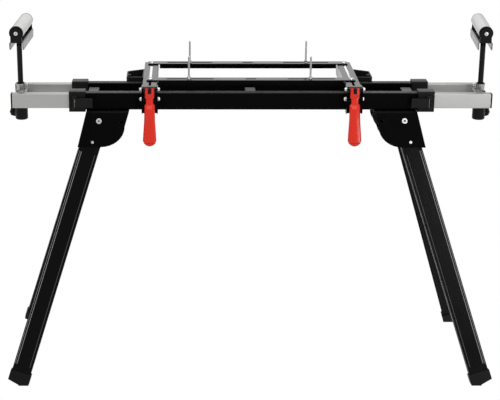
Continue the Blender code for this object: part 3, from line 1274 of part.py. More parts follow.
def main():
    clear_scene()
    make_rail_frame()
    make_collars()
    make_legs()
    for side in (LEFT, RIGHT):
        make_extension(side)
        make_post_sleeve(side)
        make_post_bush(side)
        make_post_socket(side)
        make_post_knob(side)
        make_roller_post(side)
        make_roller(side)
        make_mount_bracket(side)
        make_clamp_lever(side)
        make_clamp_jaw(side)
    make_rear_trays()
    for row in (FRONT, BACK):
        make_bar(row)
        for side in (LEFT, RIGHT):
            make_saw_bolt(side, row)


main()
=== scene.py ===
"""The looks of a folding saw stand, put together from its rails outwards.

Metres throughout, +Z up, the operator at -Y. The left side is -X.
"""

import math

import bmesh
import bpy
from mathutils import Matrix, Vector
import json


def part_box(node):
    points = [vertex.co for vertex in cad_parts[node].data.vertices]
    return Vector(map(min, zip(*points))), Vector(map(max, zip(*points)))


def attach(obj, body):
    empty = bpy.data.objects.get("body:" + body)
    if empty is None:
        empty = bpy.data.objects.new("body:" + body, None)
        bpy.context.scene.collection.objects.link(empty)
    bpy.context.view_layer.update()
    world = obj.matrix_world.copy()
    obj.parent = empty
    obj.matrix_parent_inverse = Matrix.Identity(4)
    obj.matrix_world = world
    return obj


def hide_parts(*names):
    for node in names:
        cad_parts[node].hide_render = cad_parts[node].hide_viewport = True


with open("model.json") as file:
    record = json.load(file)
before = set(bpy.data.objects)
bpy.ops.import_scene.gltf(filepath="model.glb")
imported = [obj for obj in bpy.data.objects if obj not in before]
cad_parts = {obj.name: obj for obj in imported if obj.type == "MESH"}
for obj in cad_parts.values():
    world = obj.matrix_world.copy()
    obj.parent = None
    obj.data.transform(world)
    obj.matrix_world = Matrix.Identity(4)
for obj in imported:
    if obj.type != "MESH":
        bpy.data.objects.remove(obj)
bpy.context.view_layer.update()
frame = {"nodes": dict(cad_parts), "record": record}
scene = bpy.context.scene
scene.view_settings.view_transform = "Standard"

# Camera.
# The photograph looks a little down on the stand from the front, from 4 m away.
# The lens, the shift and the turn were worked out from the rails and the feet.
PHOTO_WIDE_PX, PHOTO_TALL_PX = 500.0, 400.0
FOCAL_LENGTH_PX, AXIS_X_PX, AXIS_Y_PX = 1400.07, 188.25, 183.04
CAMERA_PLACE = (-0.1956, -3.9991, 1.8576)
CAMERA_PITCH, CAMERA_YAW, CAMERA_ROLL = 0.3157, 0.0028, -0.0011
eye = bpy.data.cameras.new("camera")
eye.sensor_width = 36.0
eye.lens = FOCAL_LENGTH_PX / PHOTO_WIDE_PX * eye.sensor_width
eye.shift_x = (PHOTO_WIDE_PX / 2.0 - AXIS_X_PX) / PHOTO_WIDE_PX
eye.shift_y = (AXIS_Y_PX - PHOTO_TALL_PX / 2.0) / PHOTO_WIDE_PX
camera = bpy.data.objects.new("camera", eye)
camera.location = CAMERA_PLACE
camera.rotation_euler = (math.pi / 2 - CAMERA_PITCH, CAMERA_ROLL, -CAMERA_YAW)
scene.collection.objects.link(camera)
scene.camera = camera

# Studio.
# A pale floor under a large soft lamp, with weaker ones at both sides and one behind,
# which the level tops reflect. The lens sees the floor white and the sky pale grey.
SKY_GREY, PAPER_GREY = 0.55, 0.86
FLOOR_REACH, FLOOR_DROP, LAMPS_AIM_AT = 6.0, 0.0005, (0.0, 0.0, 0.7)


def white_to_camera(nodes, links, seen, lit):
    """Shows one shader to the lens and to reflections, and another to the rest."""
    path = nodes.new("ShaderNodeLightPath")
    direct_or_glossy = nodes.new("ShaderNodeMath")
    direct_or_glossy.operation = "MAXIMUM"
    links.new(path.outputs["Is Camera Ray"], direct_or_glossy.inputs[0])
    links.new(path.outputs["Is Glossy Ray"], direct_or_glossy.inputs[1])
    any_of_three = nodes.new("ShaderNodeMath")
    any_of_three.operation = "MAXIMUM"
    links.new(direct_or_glossy.outputs[0], any_of_three.inputs[0])
    links.new(path.outputs["Is Transmission Ray"], any_of_three.inputs[1])
    mix = nodes.new("ShaderNodeMixShader")
    links.new(any_of_three.outputs[0], mix.inputs[0])
    links.new(lit, mix.inputs[1])
    links.new(seen, mix.inputs[2])
    return mix.outputs[0]


sky = bpy.data.worlds.new("studio")
sky.use_nodes = True
sky.node_tree.nodes.clear()
air, wires = sky.node_tree.nodes, sky.node_tree.links
sky_seen = air.new("ShaderNodeBackground")
sky_lit = air.new("ShaderNodeBackground")
sky_lit.inputs["Color"].default_value = (SKY_GREY,) * 3 + (1.0,)
sky_out = air.new("ShaderNodeOutputWorld")
wires.new(white_to_camera(air, wires, sky_seen.outputs[0], sky_lit.outputs[0]),
          sky_out.inputs["Surface"])
scene.world = sky

floor_shape = bmesh.new()
bmesh.ops.create_grid(floor_shape, x_segments=1, y_segments=1, size=FLOOR_REACH)
bmesh.ops.translate(floor_shape, verts=floor_shape.verts, vec=(0.0, 0.0, -FLOOR_DROP))
floor_mesh = bpy.data.meshes.new("studio_floor")
floor_shape.to_mesh(floor_mesh)
floor_shape.free()
studio_floor = bpy.data.objects.new("studio_floor", floor_mesh)
scene.collection.objects.link(studio_floor)
paper = bpy.data.materials.new("studio_paper")
paper.use_nodes = True
sheet, joins = paper.node_tree.nodes, paper.node_tree.links
sheet.clear()
paper_white = sheet.new("ShaderNodeEmission")
paper_matt = sheet.new("ShaderNodeBsdfDiffuse")
paper_matt.inputs["Color"].default_value = (PAPER_GREY,) * 3 + (1.0,)
paper_out = sheet.new("ShaderNodeOutputMaterial")
joins.new(white_to_camera(sheet, joins, paper_white.outputs[0], paper_matt.outputs[0]),
          paper_out.inputs["Surface"])
floor_mesh.materials.append(paper)

for lamp_name, place, size, watts in (
        ("lamp_above", (0.3, -0.6, 3.6), (3.4, 3.4), 78.0),
        ("lamp_right", (1.70, -3.2, 1.00), (0.6, 0.9), 22.0),
        ("lamp_left", (-3.0, -2.6, 2.2), (2.0, 2.0), 14.0),
        ("lamp_behind", (0.0, 3.6, 2.1), (2.8, 2.8), 10.0)):
    lamp = bpy.data.lights.new(lamp_name, "AREA")
    lamp.shape = "RECTANGLE"
    lamp.size, lamp.size_y = size
    lamp.energy = watts
    holder = bpy.data.objects.new(lamp_name, lamp)
    holder.location = place
    aim = Vector(LAMPS_AIM_AT) - Vector(place)
    holder.rotation_euler = aim.to_track_quat("-Z", "Y").to_euler()
    scene.collection.objects.link(holder)

# Rails and cross tubes.
# Two drawn steel tubes, joined by three short tubes welded between them, and coated
# in black powder. The short tubes lie smoother than the rails, and their upward faces
# are painted pale grey, a painted highlight of the lamp above.
GRAIN_DETAIL, GRAIN_ROUGHNESS, BLOTCH_SCALE, BLOTCH_DETAIL = 3.0, 0.6, 14.0, 4.0
BLOTCH_LOW, BLOTCH_HIGH = 0.3, 0.7
MERGE_WITHIN, FLAT_WITHIN_DEGREES, CREASE_DEGREES = 1e-6, 0.6, 50.0
BETWEEN_RAILS, UNDER_RAILS, FACING_UP = 0.0445, 0.8, 0.5


def group_socket(group, name, direction, kind, value=None):
    """Adds a named input or output to a node group."""
    made = group.interface.new_socket(name=name, in_out=direction, socket_type=kind)
    if value is not None:
        made.default_value = value
    return made


def grain_group(name):
    """Height and blotch masks of a fine grained finish, in Object coordinates."""
    group = bpy.data.node_groups.new(name, "ShaderNodeTree")
    group_socket(group, "Stretch", "INPUT", "NodeSocketVector", (1.0, 1.0, 1.0))
    group_socket(group, "Scale", "INPUT", "NodeSocketFloat", 500.0)
    group_socket(group, "Height", "OUTPUT", "NodeSocketFloat")
    group_socket(group, "Blotch", "OUTPUT", "NodeSocketFloat")
    nodes, links = group.nodes, group.links
    inputs, outputs = nodes.new("NodeGroupInput"), nodes.new("NodeGroupOutput")
    place = nodes.new("ShaderNodeTexCoord")
    stretch = nodes.new("ShaderNodeVectorMath")
    stretch.operation = "MULTIPLY"
    links.new(place.outputs["Object"], stretch.inputs[0])
    links.new(inputs.outputs["Stretch"], stretch.inputs[1])
    fine = nodes.new("ShaderNodeTexNoise")
    fine.inputs["Detail"].default_value = GRAIN_DETAIL
    fine.inputs["Roughness"].default_value = GRAIN_ROUGHNESS
    links.new(stretch.outputs[0], fine.inputs["Vector"])
    links.new(inputs.outputs["Scale"], fine.inputs["Scale"])
    links.new(fine.outputs["Fac"], outputs.inputs["Height"])
    broad = nodes.new("ShaderNodeTexNoise")
    broad.inputs["Scale"].default_value = BLOTCH_SCALE
    broad.inputs["Detail"].default_value = BLOTCH_DETAIL
    links.new(place.outputs["Object"], broad.inputs["Vector"])
    links.new(broad.outputs["Fac"], outputs.inputs["Blotch"])
    return group


grain = grain_group("surface_grain")


def painted(name, dark, light, rough, relief, scale, stretch=(1.0, 1.0, 1.0), metal=0.0,
            tint=1.0, specular=0.5):
    """A finish that varies between two colours and two roughnesses, with relief. A low
    tint dims what the surface mirrors head on, as a dark studio in front of it does."""
    made = bpy.data.materials.new(name)
    made.use_nodes = True
    nodes, links = made.node_tree.nodes, made.node_tree.links
    shader = nodes["Principled BSDF"]
    shader.inputs["Metallic"].default_value = metal
    shader.inputs["Specular Tint"].default_value = (tint, tint, tint, 1.0)
    shader.inputs["Specular IOR Level"].default_value = specular
    texture = nodes.new("ShaderNodeGroup")
    texture.node_tree = grain
    texture.inputs["Stretch"].default_value = stretch
    texture.inputs["Scale"].default_value = scale
    colour = nodes.new("ShaderNodeMix")
    colour.data_type = "RGBA"
    colour.inputs["A"].default_value = (*dark, 1.0)
    colour.inputs["B"].default_value = (*light, 1.0)
    links.new(texture.outputs["Height"], colour.inputs["Factor"])
    links.new(colour.outputs["Result"], shader.inputs["Base Color"])
    smooth = nodes.new("ShaderNodeMapRange")
    smooth.inputs["From Min"].default_value = BLOTCH_LOW
    smooth.inputs["From Max"].default_value = BLOTCH_HIGH
    smooth.inputs["To Min"].default_value = rough[0]
    smooth.inputs["To Max"].default_value = rough[1]
    links.new(texture.outputs["Blotch"], smooth.inputs["Value"])
    links.new(smooth.outputs["Result"], shader.inputs["Roughness"])
    bump = nodes.new("ShaderNodeBump")
    bump.inputs["Strength"].default_value = relief[0]
    bump.inputs["Distance"].default_value = relief[1]
    links.new(texture.outputs["Height"], bump.inputs["Height"])
    links.new(bump.outputs["Normal"], shader.inputs["Normal"])
    return made


def merged_shape(node, whole_faces=True):
    """A modelled node's shape with its loose triangles joined, and level ones made one."""
    shape = bmesh.new()
    shape.from_mesh(frame["nodes"][node].data)
    bmesh.ops.remove_doubles(shape, verts=shape.verts, dist=MERGE_WITHIN)
    if whole_faces:
        bmesh.ops.dissolve_limit(shape, angle_limit=math.radians(FLAT_WITHIN_DEGREES),
                                 verts=shape.verts, edges=shape.edges)
    return shape


def edged_copy(node, width, finish, sharp=32.0, whole_faces=True):
    """A copy of a modelled node with its edges rounded, which stands for the node."""
    shape = merged_shape(node, whole_faces)
    edges = [edge for edge in shape.edges if len(edge.link_faces) == 2
             and edge.calc_face_angle() > math.radians(sharp)]
    bmesh.ops.bevel(shape, geom=edges, offset=width, offset_type="OFFSET", affect="EDGES",
                    segments=2, profile=0.5, material=-1, clamp_overlap=True)
    mesh = bpy.data.meshes.new(node + "_finished")
    shape.to_mesh(mesh)
    shape.free()
    mesh.shade_smooth()
    mesh.set_sharp_from_angle(angle=math.radians(CREASE_DEGREES))
    mesh.materials.clear()
    mesh.materials.append(finish)
    made = bpy.data.objects.new(mesh.name, mesh)
    scene.collection.objects.link(made)
    even = made.modifiers.new("even_faces", "WEIGHTED_NORMAL")
    even.keep_sharp = True
    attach(made, body_of[node])
    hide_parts(node)
    return made


body_of = {node: body for body, group in frame["record"]["behaviour"]["bodies"].items()
           for node in group}

powder_coat = painted("black_powder_coat", (0.0002, 0.0002, 0.0002), (0.0012, 0.0012, 0.0012),
                      (0.34, 0.42), (0.95, 0.0012), 380.0, tint=0.16, specular=0.17)
lit_tube_tops = painted("painted_highlight_tube_tops", (0.09, 0.09, 0.09), (0.15, 0.15, 0.15),
                     (0.40, 0.52), (0.40, 0.0004), 500.0, tint=0.5, specular=0.3)
rails = edged_copy("rail_frame", 0.0006, powder_coat)
rails.data.materials.append(lit_tube_tops)
# The upward faces between the rails, the short tubes' tops, take the painted highlight.
for face in rails.data.polygons:
    between = abs(face.center.y) < BETWEEN_RAILS and face.center.z > UNDER_RAILS
    if between and face.normal.z > FACING_UP:
        face.material_index = 1

# Collars.
# Moulded sleeves on the four rail ends. The front two carry the cam levers, which
# press the sliding tubes tight.
SIDES = {"left": -1.0, "right": 1.0}
ROWS = {"front": -1.0, "back": 1.0}
moulded_black = painted("moulded_black_plastic", (0.008, 0.008, 0.0078), (0.015, 0.015, 0.0145),
                        (0.34, 0.44), (0.20, 0.0002), 1300.0, tint=0.25, specular=0.16)
for side in SIDES:
    for row in ROWS:
        edged_copy(f"collar_{row}_{side}", 0.0010, moulded_black)
    edged_copy(f"cam_lever_{side}", 0.0007, moulded_black)

joint_of = {joint["name"]: joint for joint in frame["record"]["behaviour"]["joints"]}


def turned(shape, profile, place, steps=20):
    """Adds a round form: (radius, height) points spun about their axis, then placed."""
    older = set(shape.verts)
    rim = [shape.verts.new((radius, 0.0, height)) for radius, height in profile]
    line = [shape.edges.new(pair) for pair in zip(rim, rim[1:])]
    bmesh.ops.spin(shape, geom=rim + line, cent=(0.0, 0.0, 0.0), axis=(0.0, 0.0, 1.0),
                   angle=2.0 * math.pi, steps=steps, use_merge=True)
    fresh = [vert for vert in shape.verts if vert not in older]
    bmesh.ops.remove_doubles(shape, verts=fresh, dist=MERGE_WITHIN)
    fresh = [vert for vert in shape.verts if vert not in older]
    bmesh.ops.transform(shape, matrix=place, verts=fresh)


def aimed(spot, direction):
    """Places a form at a spot with its z axis along a direction."""
    turn = Vector(direction).to_track_quat("Z", "Y").to_matrix().to_4x4()
    return Matrix.Translation(spot) @ turn


def fitted(name, shape, finish, body, sharp=40.0):
    """Makes a piece of a finished shape and sets it on its body."""
    bmesh.ops.recalc_face_normals(shape, faces=shape.faces)
    mesh = bpy.data.meshes.new(name)
    shape.to_mesh(mesh)
    shape.free()
    mesh.shade_smooth()
    mesh.set_sharp_from_angle(angle=math.radians(sharp))
    mesh.materials.append(finish)
    made = bpy.data.objects.new(name, mesh)
    scene.collection.objects.link(made)
    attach(made, body)
    return made


# Each lever's hub has a tall window at its outer side, shown as a near black box of painted shade,
# with its steel pin bright in it.
bright_steel = painted("grey_pin_steel", (0.09, 0.09, 0.088), (0.14, 0.14, 0.137),
                       (0.26, 0.36), (0.10, 0.0001), 900.0, metal=1.0)
# A near black that paints shade into recesses and onto small parts that sit in shadow.
painted_shade = painted("painted_shade", (0.0010, 0.0010, 0.0010), (0.0018, 0.0018, 0.0018),
                      (0.70, 0.85), (0.10, 0.0001), 900.0, tint=0.1, specular=0.1)
HUB_RADIUS, WINDOW_PLACE_SHARE = 0.0070, 0.9
WINDOW_TALL, WINDOW_WIDE, WINDOW_DEEP, WINDOW_SINK = 0.0230, 0.0026, 0.0016, 0.0006
WINDOW_EDGE, WINDOW_SHIFT, PIN_SINK = 0.0004, 0.0040, 0.0004
PIN_PROFILE = ((0.0, -0.0124), (0.0013, -0.0124), (0.0015, -0.0120), (0.0015, 0.0120),
               (0.0013, 0.0124), (0.0, 0.0124))
for side, sign in SIDES.items():
    hub = Vector(joint_of[f"cam_lever_turn_{side}"]["pos_m"])
    body = f"cam_lever_{side}"
    window = bmesh.new()
    bmesh.ops.create_cube(window, size=1.0)
    bmesh.ops.scale(window, verts=window.verts, vec=(WINDOW_WIDE, WINDOW_DEEP, WINDOW_TALL))
    bmesh.ops.bevel(window, geom=window.edges[:], offset=WINDOW_EDGE, affect="EDGES",
                    segments=2, profile=0.5, material=-1)
    ahead = WINDOW_SINK - HUB_RADIUS * WINDOW_PLACE_SHARE
    bmesh.ops.translate(window, verts=window.verts,
                        vec=hub + Vector((sign * WINDOW_SHIFT, ahead, 0.0)))
    fitted(f"lever_window_{side}", window, painted_shade, body)
    strip = bmesh.new()
    turned(strip, PIN_PROFILE, Matrix.Translation(hub + Vector((0.0, PIN_SINK - HUB_RADIUS, 0.0))),
           steps=16)
    fitted(f"lever_pin_strip_{side}", strip, bright_steel, body)

# Leg brackets.
# Folded steel channels under the rails, powder coated as the rails are, with one
# zinc plated bolt through each.
zinc_plate = painted("zinc_plated_steel", (0.50, 0.50, 0.49), (0.74, 0.74, 0.72),
                     (0.22, 0.36), (0.10, 0.0001), 700.0, metal=1.0)
for side in SIDES:
    for row in ROWS:
        edged_copy(f"leg_bracket_{row}_{side}", 0.0004, powder_coat, whole_faces=False)
        edged_copy(f"leg_pivot_bolt_{row}_{side}", 0.0006, zinc_plate)

# Each bolt's head has a small six-sided socket, painted near black inside as shade.
BOLT_HEAD_REACH = {"left": 0.0218, "right": 0.0508}
RING_SINK = 0.0030
RING_PROFILE = ((0.0, 0.0), (0.0037, 0.0), (0.0037, 0.0029), (0.0034, 0.0032),
                (0.0030, 0.0031), (0.0027, 0.0012), (0.0, 0.0012))
SOCKET_PROFILE = ((0.0, 0.0013), (0.0026, 0.0013), (0.0027, 0.0024), (0.0017, 0.0026),
                  (0.0, 0.0016))


def fold_axis(row, side):
    """A leg's pivot, and its axis pointing away from the stand's middle."""
    fold = joint_of[f"leg_fold_{row}_{side}"]
    away = Vector(fold["axis"])
    away *= 1.0 if away.y * ROWS[row] > 0.0 else -1.0
    return Vector(fold["pos_m"]), away


for side in SIDES:
    for row in ROWS:
        pivot, away = fold_axis(row, side)
        spot = pivot + away * (BOLT_HEAD_REACH[side] - RING_SINK)
        ring = bmesh.new()
        turned(ring, RING_PROFILE, aimed(spot, away), steps=24)
        fitted(f"bolt_ring_{row}_{side}", ring, zinc_plate, "frame")
        # The socket's inside takes the painted shade.
        socket = bmesh.new()
        turned(socket, SOCKET_PROFILE, aimed(spot, away), steps=6)
        fitted(f"bolt_socket_{row}_{side}", socket, painted_shade, "frame", sharp=20.0)

# Legs.
# Black anodised extrusions with fine ribs, each on its bolt, with a spring button
# that locks it and a rubber boot on the floor.
leg_black = painted("black_anodised_leg", (0.0008, 0.0008, 0.0008), (0.0030, 0.0030, 0.0030),
                    (0.22, 0.34), (0.60, 0.0004), 420.0, stretch=(1.0, 1.0, 0.04), tint=0.12)
boot_rubber = painted("black_boot_rubber", (0.0025, 0.0025, 0.0025), (0.0070, 0.0070, 0.0070),
                      (0.34, 0.46), (0.35, 0.0003), 600.0, tint=0.18)
for side in SIDES:
    for row in ROWS:
        edged_copy(f"leg_{row}_{side}", 0.0004, leg_black)
        edged_copy(f"lock_button_{row}_{side}", 0.0005, zinc_plate)
        edged_copy(f"foot_{row}_{side}", 0.0016, boot_rubber, whole_faces=False)

# Beads run down each leg's outward face: one near its outer corner, and one in each
# groove. They are painted highlights, pale grey where the ribs catch the light, and
# dimmer grey on the inner groove, a painted highlight in shade.
lit_bead_highlight = painted("painted_lit_bead", (0.16, 0.16, 0.156), (0.30, 0.30, 0.293),
                    (0.24, 0.34), (0.20, 0.0002), 380.0, stretch=(1.0, 1.0, 0.2), tint=0.5)
shaded_bead_highlight = painted("painted_shaded_bead", (0.045, 0.045, 0.044), (0.085, 0.085, 0.083),
                      (0.24, 0.34), (0.20, 0.0002), 380.0, stretch=(1.0, 1.0, 0.2), tint=0.3)
BEAD_FROM, BEAD_TO, GROOVE_INSET, CORNER_INSET = 0.100, 0.760, 0.0085, 0.0034
CORNER_BEAD_WIDE, GROOVE_BEAD_WIDE, BEAD_THICK, BEAD_EDGE = 0.0012, 0.0018, 0.0008, 0.0003
CORNER_BEAD_PROUD, GROOVE_BEAD_SUNK, BELOW_LEG_HEAD = 0.00025, 0.0002, 0.3
for side, sign in SIDES.items():
    for row in ROWS:
        pivot, away = fold_axis(row, side)
        plain = merged_shape(f"leg_{row}_{side}")
        longest = max(plain.edges, key=lambda edge: edge.calc_length())
        down = (longest.verts[1].co - longest.verts[0].co).normalized()
        down *= -1.0 if down.z > 0.0 else 1.0
        over = away.cross(down).normalized()
        over *= 1.0 if over.x * sign > 0.0 else -1.0
        spots = [vert.co - pivot for vert in plain.verts]
        plain.free()
        level = max(spot.dot(away) for spot in spots)
        near, far = (pick(spot.dot(over) for spot in spots if spot.dot(down) > BELOW_LEG_HEAD)
                     for pick in (min, max))
        for label, place, wide, proud, finish in (
                ("corner", far - CORNER_INSET, CORNER_BEAD_WIDE, CORNER_BEAD_PROUD, lit_bead_highlight),
                ("outer", far - GROOVE_INSET, GROOVE_BEAD_WIDE, -GROOVE_BEAD_SUNK, lit_bead_highlight),
                ("inner", near + GROOVE_INSET, GROOVE_BEAD_WIDE, -GROOVE_BEAD_SUNK,
                 shaded_bead_highlight)):
            bead = bmesh.new()
            bmesh.ops.create_cube(bead, size=1.0)
            bmesh.ops.scale(bead, verts=bead.verts, vec=(wide, BEAD_THICK, BEAD_TO - BEAD_FROM))
            lengthways = [edge for edge in bead.edges if edge.calc_length() > 2.0 * wide]
            bmesh.ops.bevel(bead, geom=lengthways, offset=BEAD_EDGE, affect="EDGES", segments=2,
                            profile=0.5, material=-1)
            turn = Matrix((over, away, down)).transposed().to_4x4()
            spot = (pivot + over * place + away * (level + proud - BEAD_THICK / 2.0)
                    + down * (BEAD_FROM + BEAD_TO) / 2.0)
            bmesh.ops.transform(bead, matrix=Matrix.Translation(spot) @ turn, verts=bead.verts)
            fitted(f"leg_bead_{label}_{row}_{side}", bead, finish, f"leg_{row}_{side}")

# Extensions.
# Silver anodised tubes that slide in the rails, with a crossbar welded between them
# and a black plastic cap on each end.
silver_tube = painted("silver_anodised_tube", (0.36, 0.36, 0.35), (0.42, 0.42, 0.41),
                      (0.36, 0.46), (0.10, 0.0001), 500.0, stretch=(0.03, 1.0, 1.0), metal=0.75)
silver_guide = painted("silver_guide_metal", (0.34, 0.34, 0.33), (0.42, 0.42, 0.41),
                       (0.24, 0.32), (0.06, 0.0001), 500.0, stretch=(1.0, 1.0, 0.05), metal=0.9)
for side in SIDES:
    edged_copy(f"extension_{side}", 0.0006, silver_tube)
    for row in ROWS:
        edged_copy(f"end_cap_{row}_{side}", 0.0010, moulded_black)

# Post guides.
# On each crossbar stands a silver guide with a black bush, and under it a black
# socket with the knob that clamps the post.
for side in SIDES:
    edged_copy(f"post_sleeve_{side}", 0.0006, silver_guide)
    edged_copy(f"post_bush_{side}", 0.0005, moulded_black)
    edged_copy(f"post_socket_{side}", 0.0006, moulded_black)
    edged_copy(f"post_knob_{side}", 0.0008, moulded_black)

# Two small screws hold each guide's flange, painted near black as the shade they sit in,
# and a thumb screw behind it takes up the play of its bush.
FLANGE_THICK, FLANGE_SCREW_OUT, FLANGE_SCREW_AHEAD = 0.0030, 0.0098, 0.0150
FLANGE_SCREW_PROFILE = ((0.0, -0.0006), (0.0030, -0.0006), (0.0031, 0.0006), (0.0024, 0.0017),
                        (0.0012, 0.0020), (0.0010, 0.0011), (0.0, 0.0011))
THUMB_DROP, THUMB_INWARD_SHARE, THUMB_BACK_SHARE = 0.0062, 0.72, 0.70
THUMB_PROFILE = ((0.0, 0.0115), (0.0026, 0.0115), (0.0026, 0.0180), (0.0052, 0.0184),
                 (0.0058, 0.0194), (0.0058, 0.0240), (0.0050, 0.0252), (0.0, 0.0255))
for side, sign in SIDES.items():
    low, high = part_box(f"post_sleeve_{side}")
    axis_x, flange_top = (low[0] + high[0]) / 2.0, low[2] + FLANGE_THICK
    screws = bmesh.new()
    for way in (1.0, -1.0):
        spot = (axis_x + way * sign * FLANGE_SCREW_OUT, -way * FLANGE_SCREW_AHEAD, flange_top)
        turned(screws, FLANGE_SCREW_PROFILE, Matrix.Translation(spot), steps=16)
    # The flange screws take the painted shade.
    fitted(f"flange_screws_{side}", screws, painted_shade, f"extension_{side}")
    thumb = bmesh.new()
    toward = (-sign * THUMB_INWARD_SHARE, THUMB_BACK_SHARE, 0.0)
    turned(thumb, THUMB_PROFILE, aimed((axis_x, 0.0, high[2] - THUMB_DROP), toward), steps=12)
    fitted(f"thumb_screw_{side}", thumb, zinc_plate, f"extension_{side}")

# Roller supports.
# A round post with a folded channel, end plates and an axle, in black enamel, and a
# bright tube that rolls on the axle.
gloss_enamel = painted("glossy_black_enamel", (0.0008, 0.0008, 0.0008), (0.0022, 0.0022, 0.0022),
                       (0.14, 0.22), (0.05, 0.0002), 260.0, tint=0.06)
roller_bright = painted("roller_aluminium", (0.48, 0.48, 0.475), (0.55, 0.55, 0.545),
                        (0.32, 0.42), (0.05, 0.0001), 600.0, stretch=(1.0, 0.05, 1.0), metal=0.6)
post_black = painted("drawn_black_post", (0.0008, 0.0008, 0.0008), (0.0025, 0.0025, 0.0025),
                     (0.12, 0.20), (0.55, 0.0006), 360.0, stretch=(1.0, 1.0, 0.02), tint=0.30)
for side in SIDES:
    edged_copy(f"roller_post_{side}", 0.0006, post_black)
    edged_copy(f"roller_{side}", 0.0008, roller_bright)

# A bright cross-head screw at each end of each axle holds the two upright plates.
AXLE_FRONT, AXLE_BACK = -0.0560, 0.1506
AXLE_SCREW_PROFILE = ((0.0, -0.0028), (0.0060, -0.0028), (0.0062, -0.0010), (0.0055, 0.0006),
                      (0.0030, 0.0014), (0.0016, 0.0015), (0.0013, -0.0002), (0.0, -0.0002))
for side in SIDES:
    spin = joint_of[f"roller_spin_{side}"]
    along, centre = Vector(spin["axis"]), Vector(spin["pos_m"])
    screws = bmesh.new()
    for reach, way in ((AXLE_FRONT, -1.0), (AXLE_BACK, 1.0)):
        turned(screws, AXLE_SCREW_PROFILE, aimed(centre + along * reach, along * way))
    fitted(f"axle_screws_{side}", screws, zinc_plate, f"roller_post_{side}")

# Saw mount.
# Two folded channels across the rails with a clamp at the front of each. The red
# handle's cam rocks the jaw against the rail.
red_grip = painted("red_handle_plastic", (0.56, 0.017, 0.006), (0.64, 0.023, 0.009),
                   (0.18, 0.26), (0.10, 0.0002), 900.0, tint=0.5)
red_seam = painted("red_handle_seam", (0.10, 0.003, 0.002), (0.14, 0.004, 0.003),
                   (0.50, 0.60), (0.10, 0.0002), 900.0, tint=0.3)

# Each grip widens towards its end and has a moulded seam across it. Its hub is black
# in the slot and on the flanks.
GRIP_WIDER_SHARE, GRIP_STARTS, GRIP_FULL = 0.09, -0.048, -0.100
SEAM_AT, SEAM_TALL = -0.1500, 0.0012
HUB_FLANK, SLOT_FLANK, SLOT_BOTTOM, HUB_BOTTOM = 0.01355, 0.0036, -0.0085, -0.0125
for side in SIDES:
    edged_copy(f"mount_bracket_{side}", 0.0005, gloss_enamel)
    lever = edged_copy(f"clamp_lever_{side}", 0.0010, red_grip, sharp=25.0)
    lever.data.materials.append(moulded_black)
    lever.data.materials.append(red_seam)
    middle = Vector(joint_of[f"clamp_lever_turn_{side}"]["pos_m"])
    handle = bmesh.new()
    handle.from_mesh(lever.data)
    for height in (SEAM_AT, SEAM_AT + SEAM_TALL):
        bmesh.ops.bisect_plane(handle, geom=handle.verts[:] + handle.edges[:] + handle.faces[:],
                               plane_co=middle + Vector((0.0, 0.0, height)),
                               plane_no=(0.0, 0.0, 1.0))
    for vert in handle.verts:
        drop = vert.co.z - middle.z
        share = min(max((drop - GRIP_STARTS) / (GRIP_FULL - GRIP_STARTS), 0.0), 1.0)
        vert.co.x = middle.x + (vert.co.x - middle.x) * (1.0 + GRIP_WIDER_SHARE * share)
    for face in handle.faces:
        if SEAM_AT < face.calc_center_median().z - middle.z < SEAM_AT + SEAM_TALL:
            face.material_index = 2
    handle.to_mesh(lever.data)
    handle.free()
    for face in lever.data.polygons:
        spot = face.center - middle
        in_slot = abs(spot.x) < SLOT_FLANK and spot.z > SLOT_BOTTOM
        if in_slot or (abs(spot.x) > HUB_FLANK and spot.z > HUB_BOTTOM):
            face.material_index = 1
    edged_copy(f"clamp_jaw_{side}", 0.0005, gloss_enamel)
    edged_copy(f"rear_tray_{side}", 0.0010, moulded_black)

# The two pins across each clamp are riveted over, with bright domed ends.
RIVET_OUT = 0.0236
RIVET_PROFILE = ((0.0, 0.0), (0.0064, 0.0), (0.0064, 0.0012), (0.0052, 0.0016), (0.0052, 0.0044),
                 (0.0042, 0.0058), (0.0024, 0.0066), (0.0, 0.0068))
for side in SIDES:
    rivets = bmesh.new()
    for turning in ("clamp_lever_turn", "clamp_jaw_turn"):
        for way in (-1.0, 1.0):
            pin = Vector(joint_of[f"{turning}_{side}"]["pos_m"])
            turned(rivets, RIVET_PROFILE,
                   aimed(pin + Vector((way * RIVET_OUT, 0.0, 0.0)), (way, 0.0, 0.0)))
    fitted(f"clamp_rivets_{side}", rivets, zinc_plate, "saw_mount")

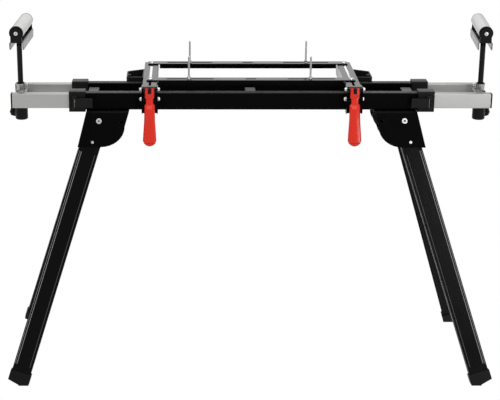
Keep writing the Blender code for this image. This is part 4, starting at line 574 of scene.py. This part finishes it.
# Slotted bars and saw bolts.
# Two flanged steel bars in the same enamel lie across the channels, with an upright
# zinc plated bolt in each long slot.
CORNER_SCREW_OUT, CORNER_SCREW_TALL = 0.2945, 0.0035
CORNER_SCREW_PROFILE = ((0.0, -0.0008), (0.0074, -0.0008), (0.0074, 0.0010), (0.0066, 0.0026),
                        (0.0048, 0.0036), (0.0028, 0.0040), (0.0024, 0.0026), (0.0, 0.0026))
NUT_RISE, NUT_BORE, NUT_RADIUS, NUT_TALL, NUT_EDGE = 0.0021, 0.0026, 0.0053, 0.0048, 0.0006
NUT_PROFILE = ((NUT_BORE, 0.0), (NUT_RADIUS - NUT_EDGE, 0.0), (NUT_RADIUS, NUT_EDGE),
               (NUT_RADIUS, NUT_TALL - NUT_EDGE), (NUT_RADIUS - NUT_EDGE, NUT_TALL),
               (NUT_BORE, NUT_TALL))
THREAD_PITCH, THREAD_TALL, THREAD_ROOT, THREAD_DEEP = 0.0010, 0.059, 0.0027, 0.0003
thread_zinc = painted("dull_zinc_thread", (0.34, 0.34, 0.33), (0.46, 0.46, 0.45),
                      (0.46, 0.58), (0.10, 0.0001), 900.0, metal=0.6)
for row in ROWS:
    edged_copy(f"bar_{row}", 0.0005, gloss_enamel)
    low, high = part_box(f"bar_{row}")
    across, top = (low[1] + high[1]) / 2.0, high[2] - CORNER_SCREW_TALL
    heads = bmesh.new()
    for way in SIDES.values():
        turned(heads, CORNER_SCREW_PROFILE,
               Matrix.Translation((way * CORNER_SCREW_OUT, across, top)))
    fitted(f"corner_screws_{row}", heads, zinc_plate, f"bar_{row}")
    for side in SIDES:
        edged_copy(f"saw_bolt_{row}_{side}", 0.0004, zinc_plate)
        low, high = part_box(f"saw_bolt_{row}_{side}")
        stem = Vector(((low[0] + high[0]) / 2.0, (low[1] + high[1]) / 2.0, top))
        nut = bmesh.new()
        turned(nut, NUT_PROFILE, Matrix.Translation(stem + Vector((0.0, 0.0, NUT_RISE))), steps=6)
        fitted(f"saw_nut_{row}_{side}", nut, zinc_plate, f"saw_bolt_{row}_{side}",
               sharp=25.0)
        thread = bmesh.new()
        crests = [(THREAD_ROOT + THREAD_DEEP * (step % 2), step * THREAD_PITCH / 2.0)
                  for step in range(int(2 * THREAD_TALL / THREAD_PITCH))]
        turned(thread, [(0.0, 0.0)] + crests + [(0.0, crests[-1][1])],
               Matrix.Translation(stem + Vector((0.0, 0.0, NUT_RISE + NUT_TALL))), steps=12)
        fitted(f"saw_thread_{row}_{side}", thread, thread_zinc, f"saw_bolt_{row}_{side}")
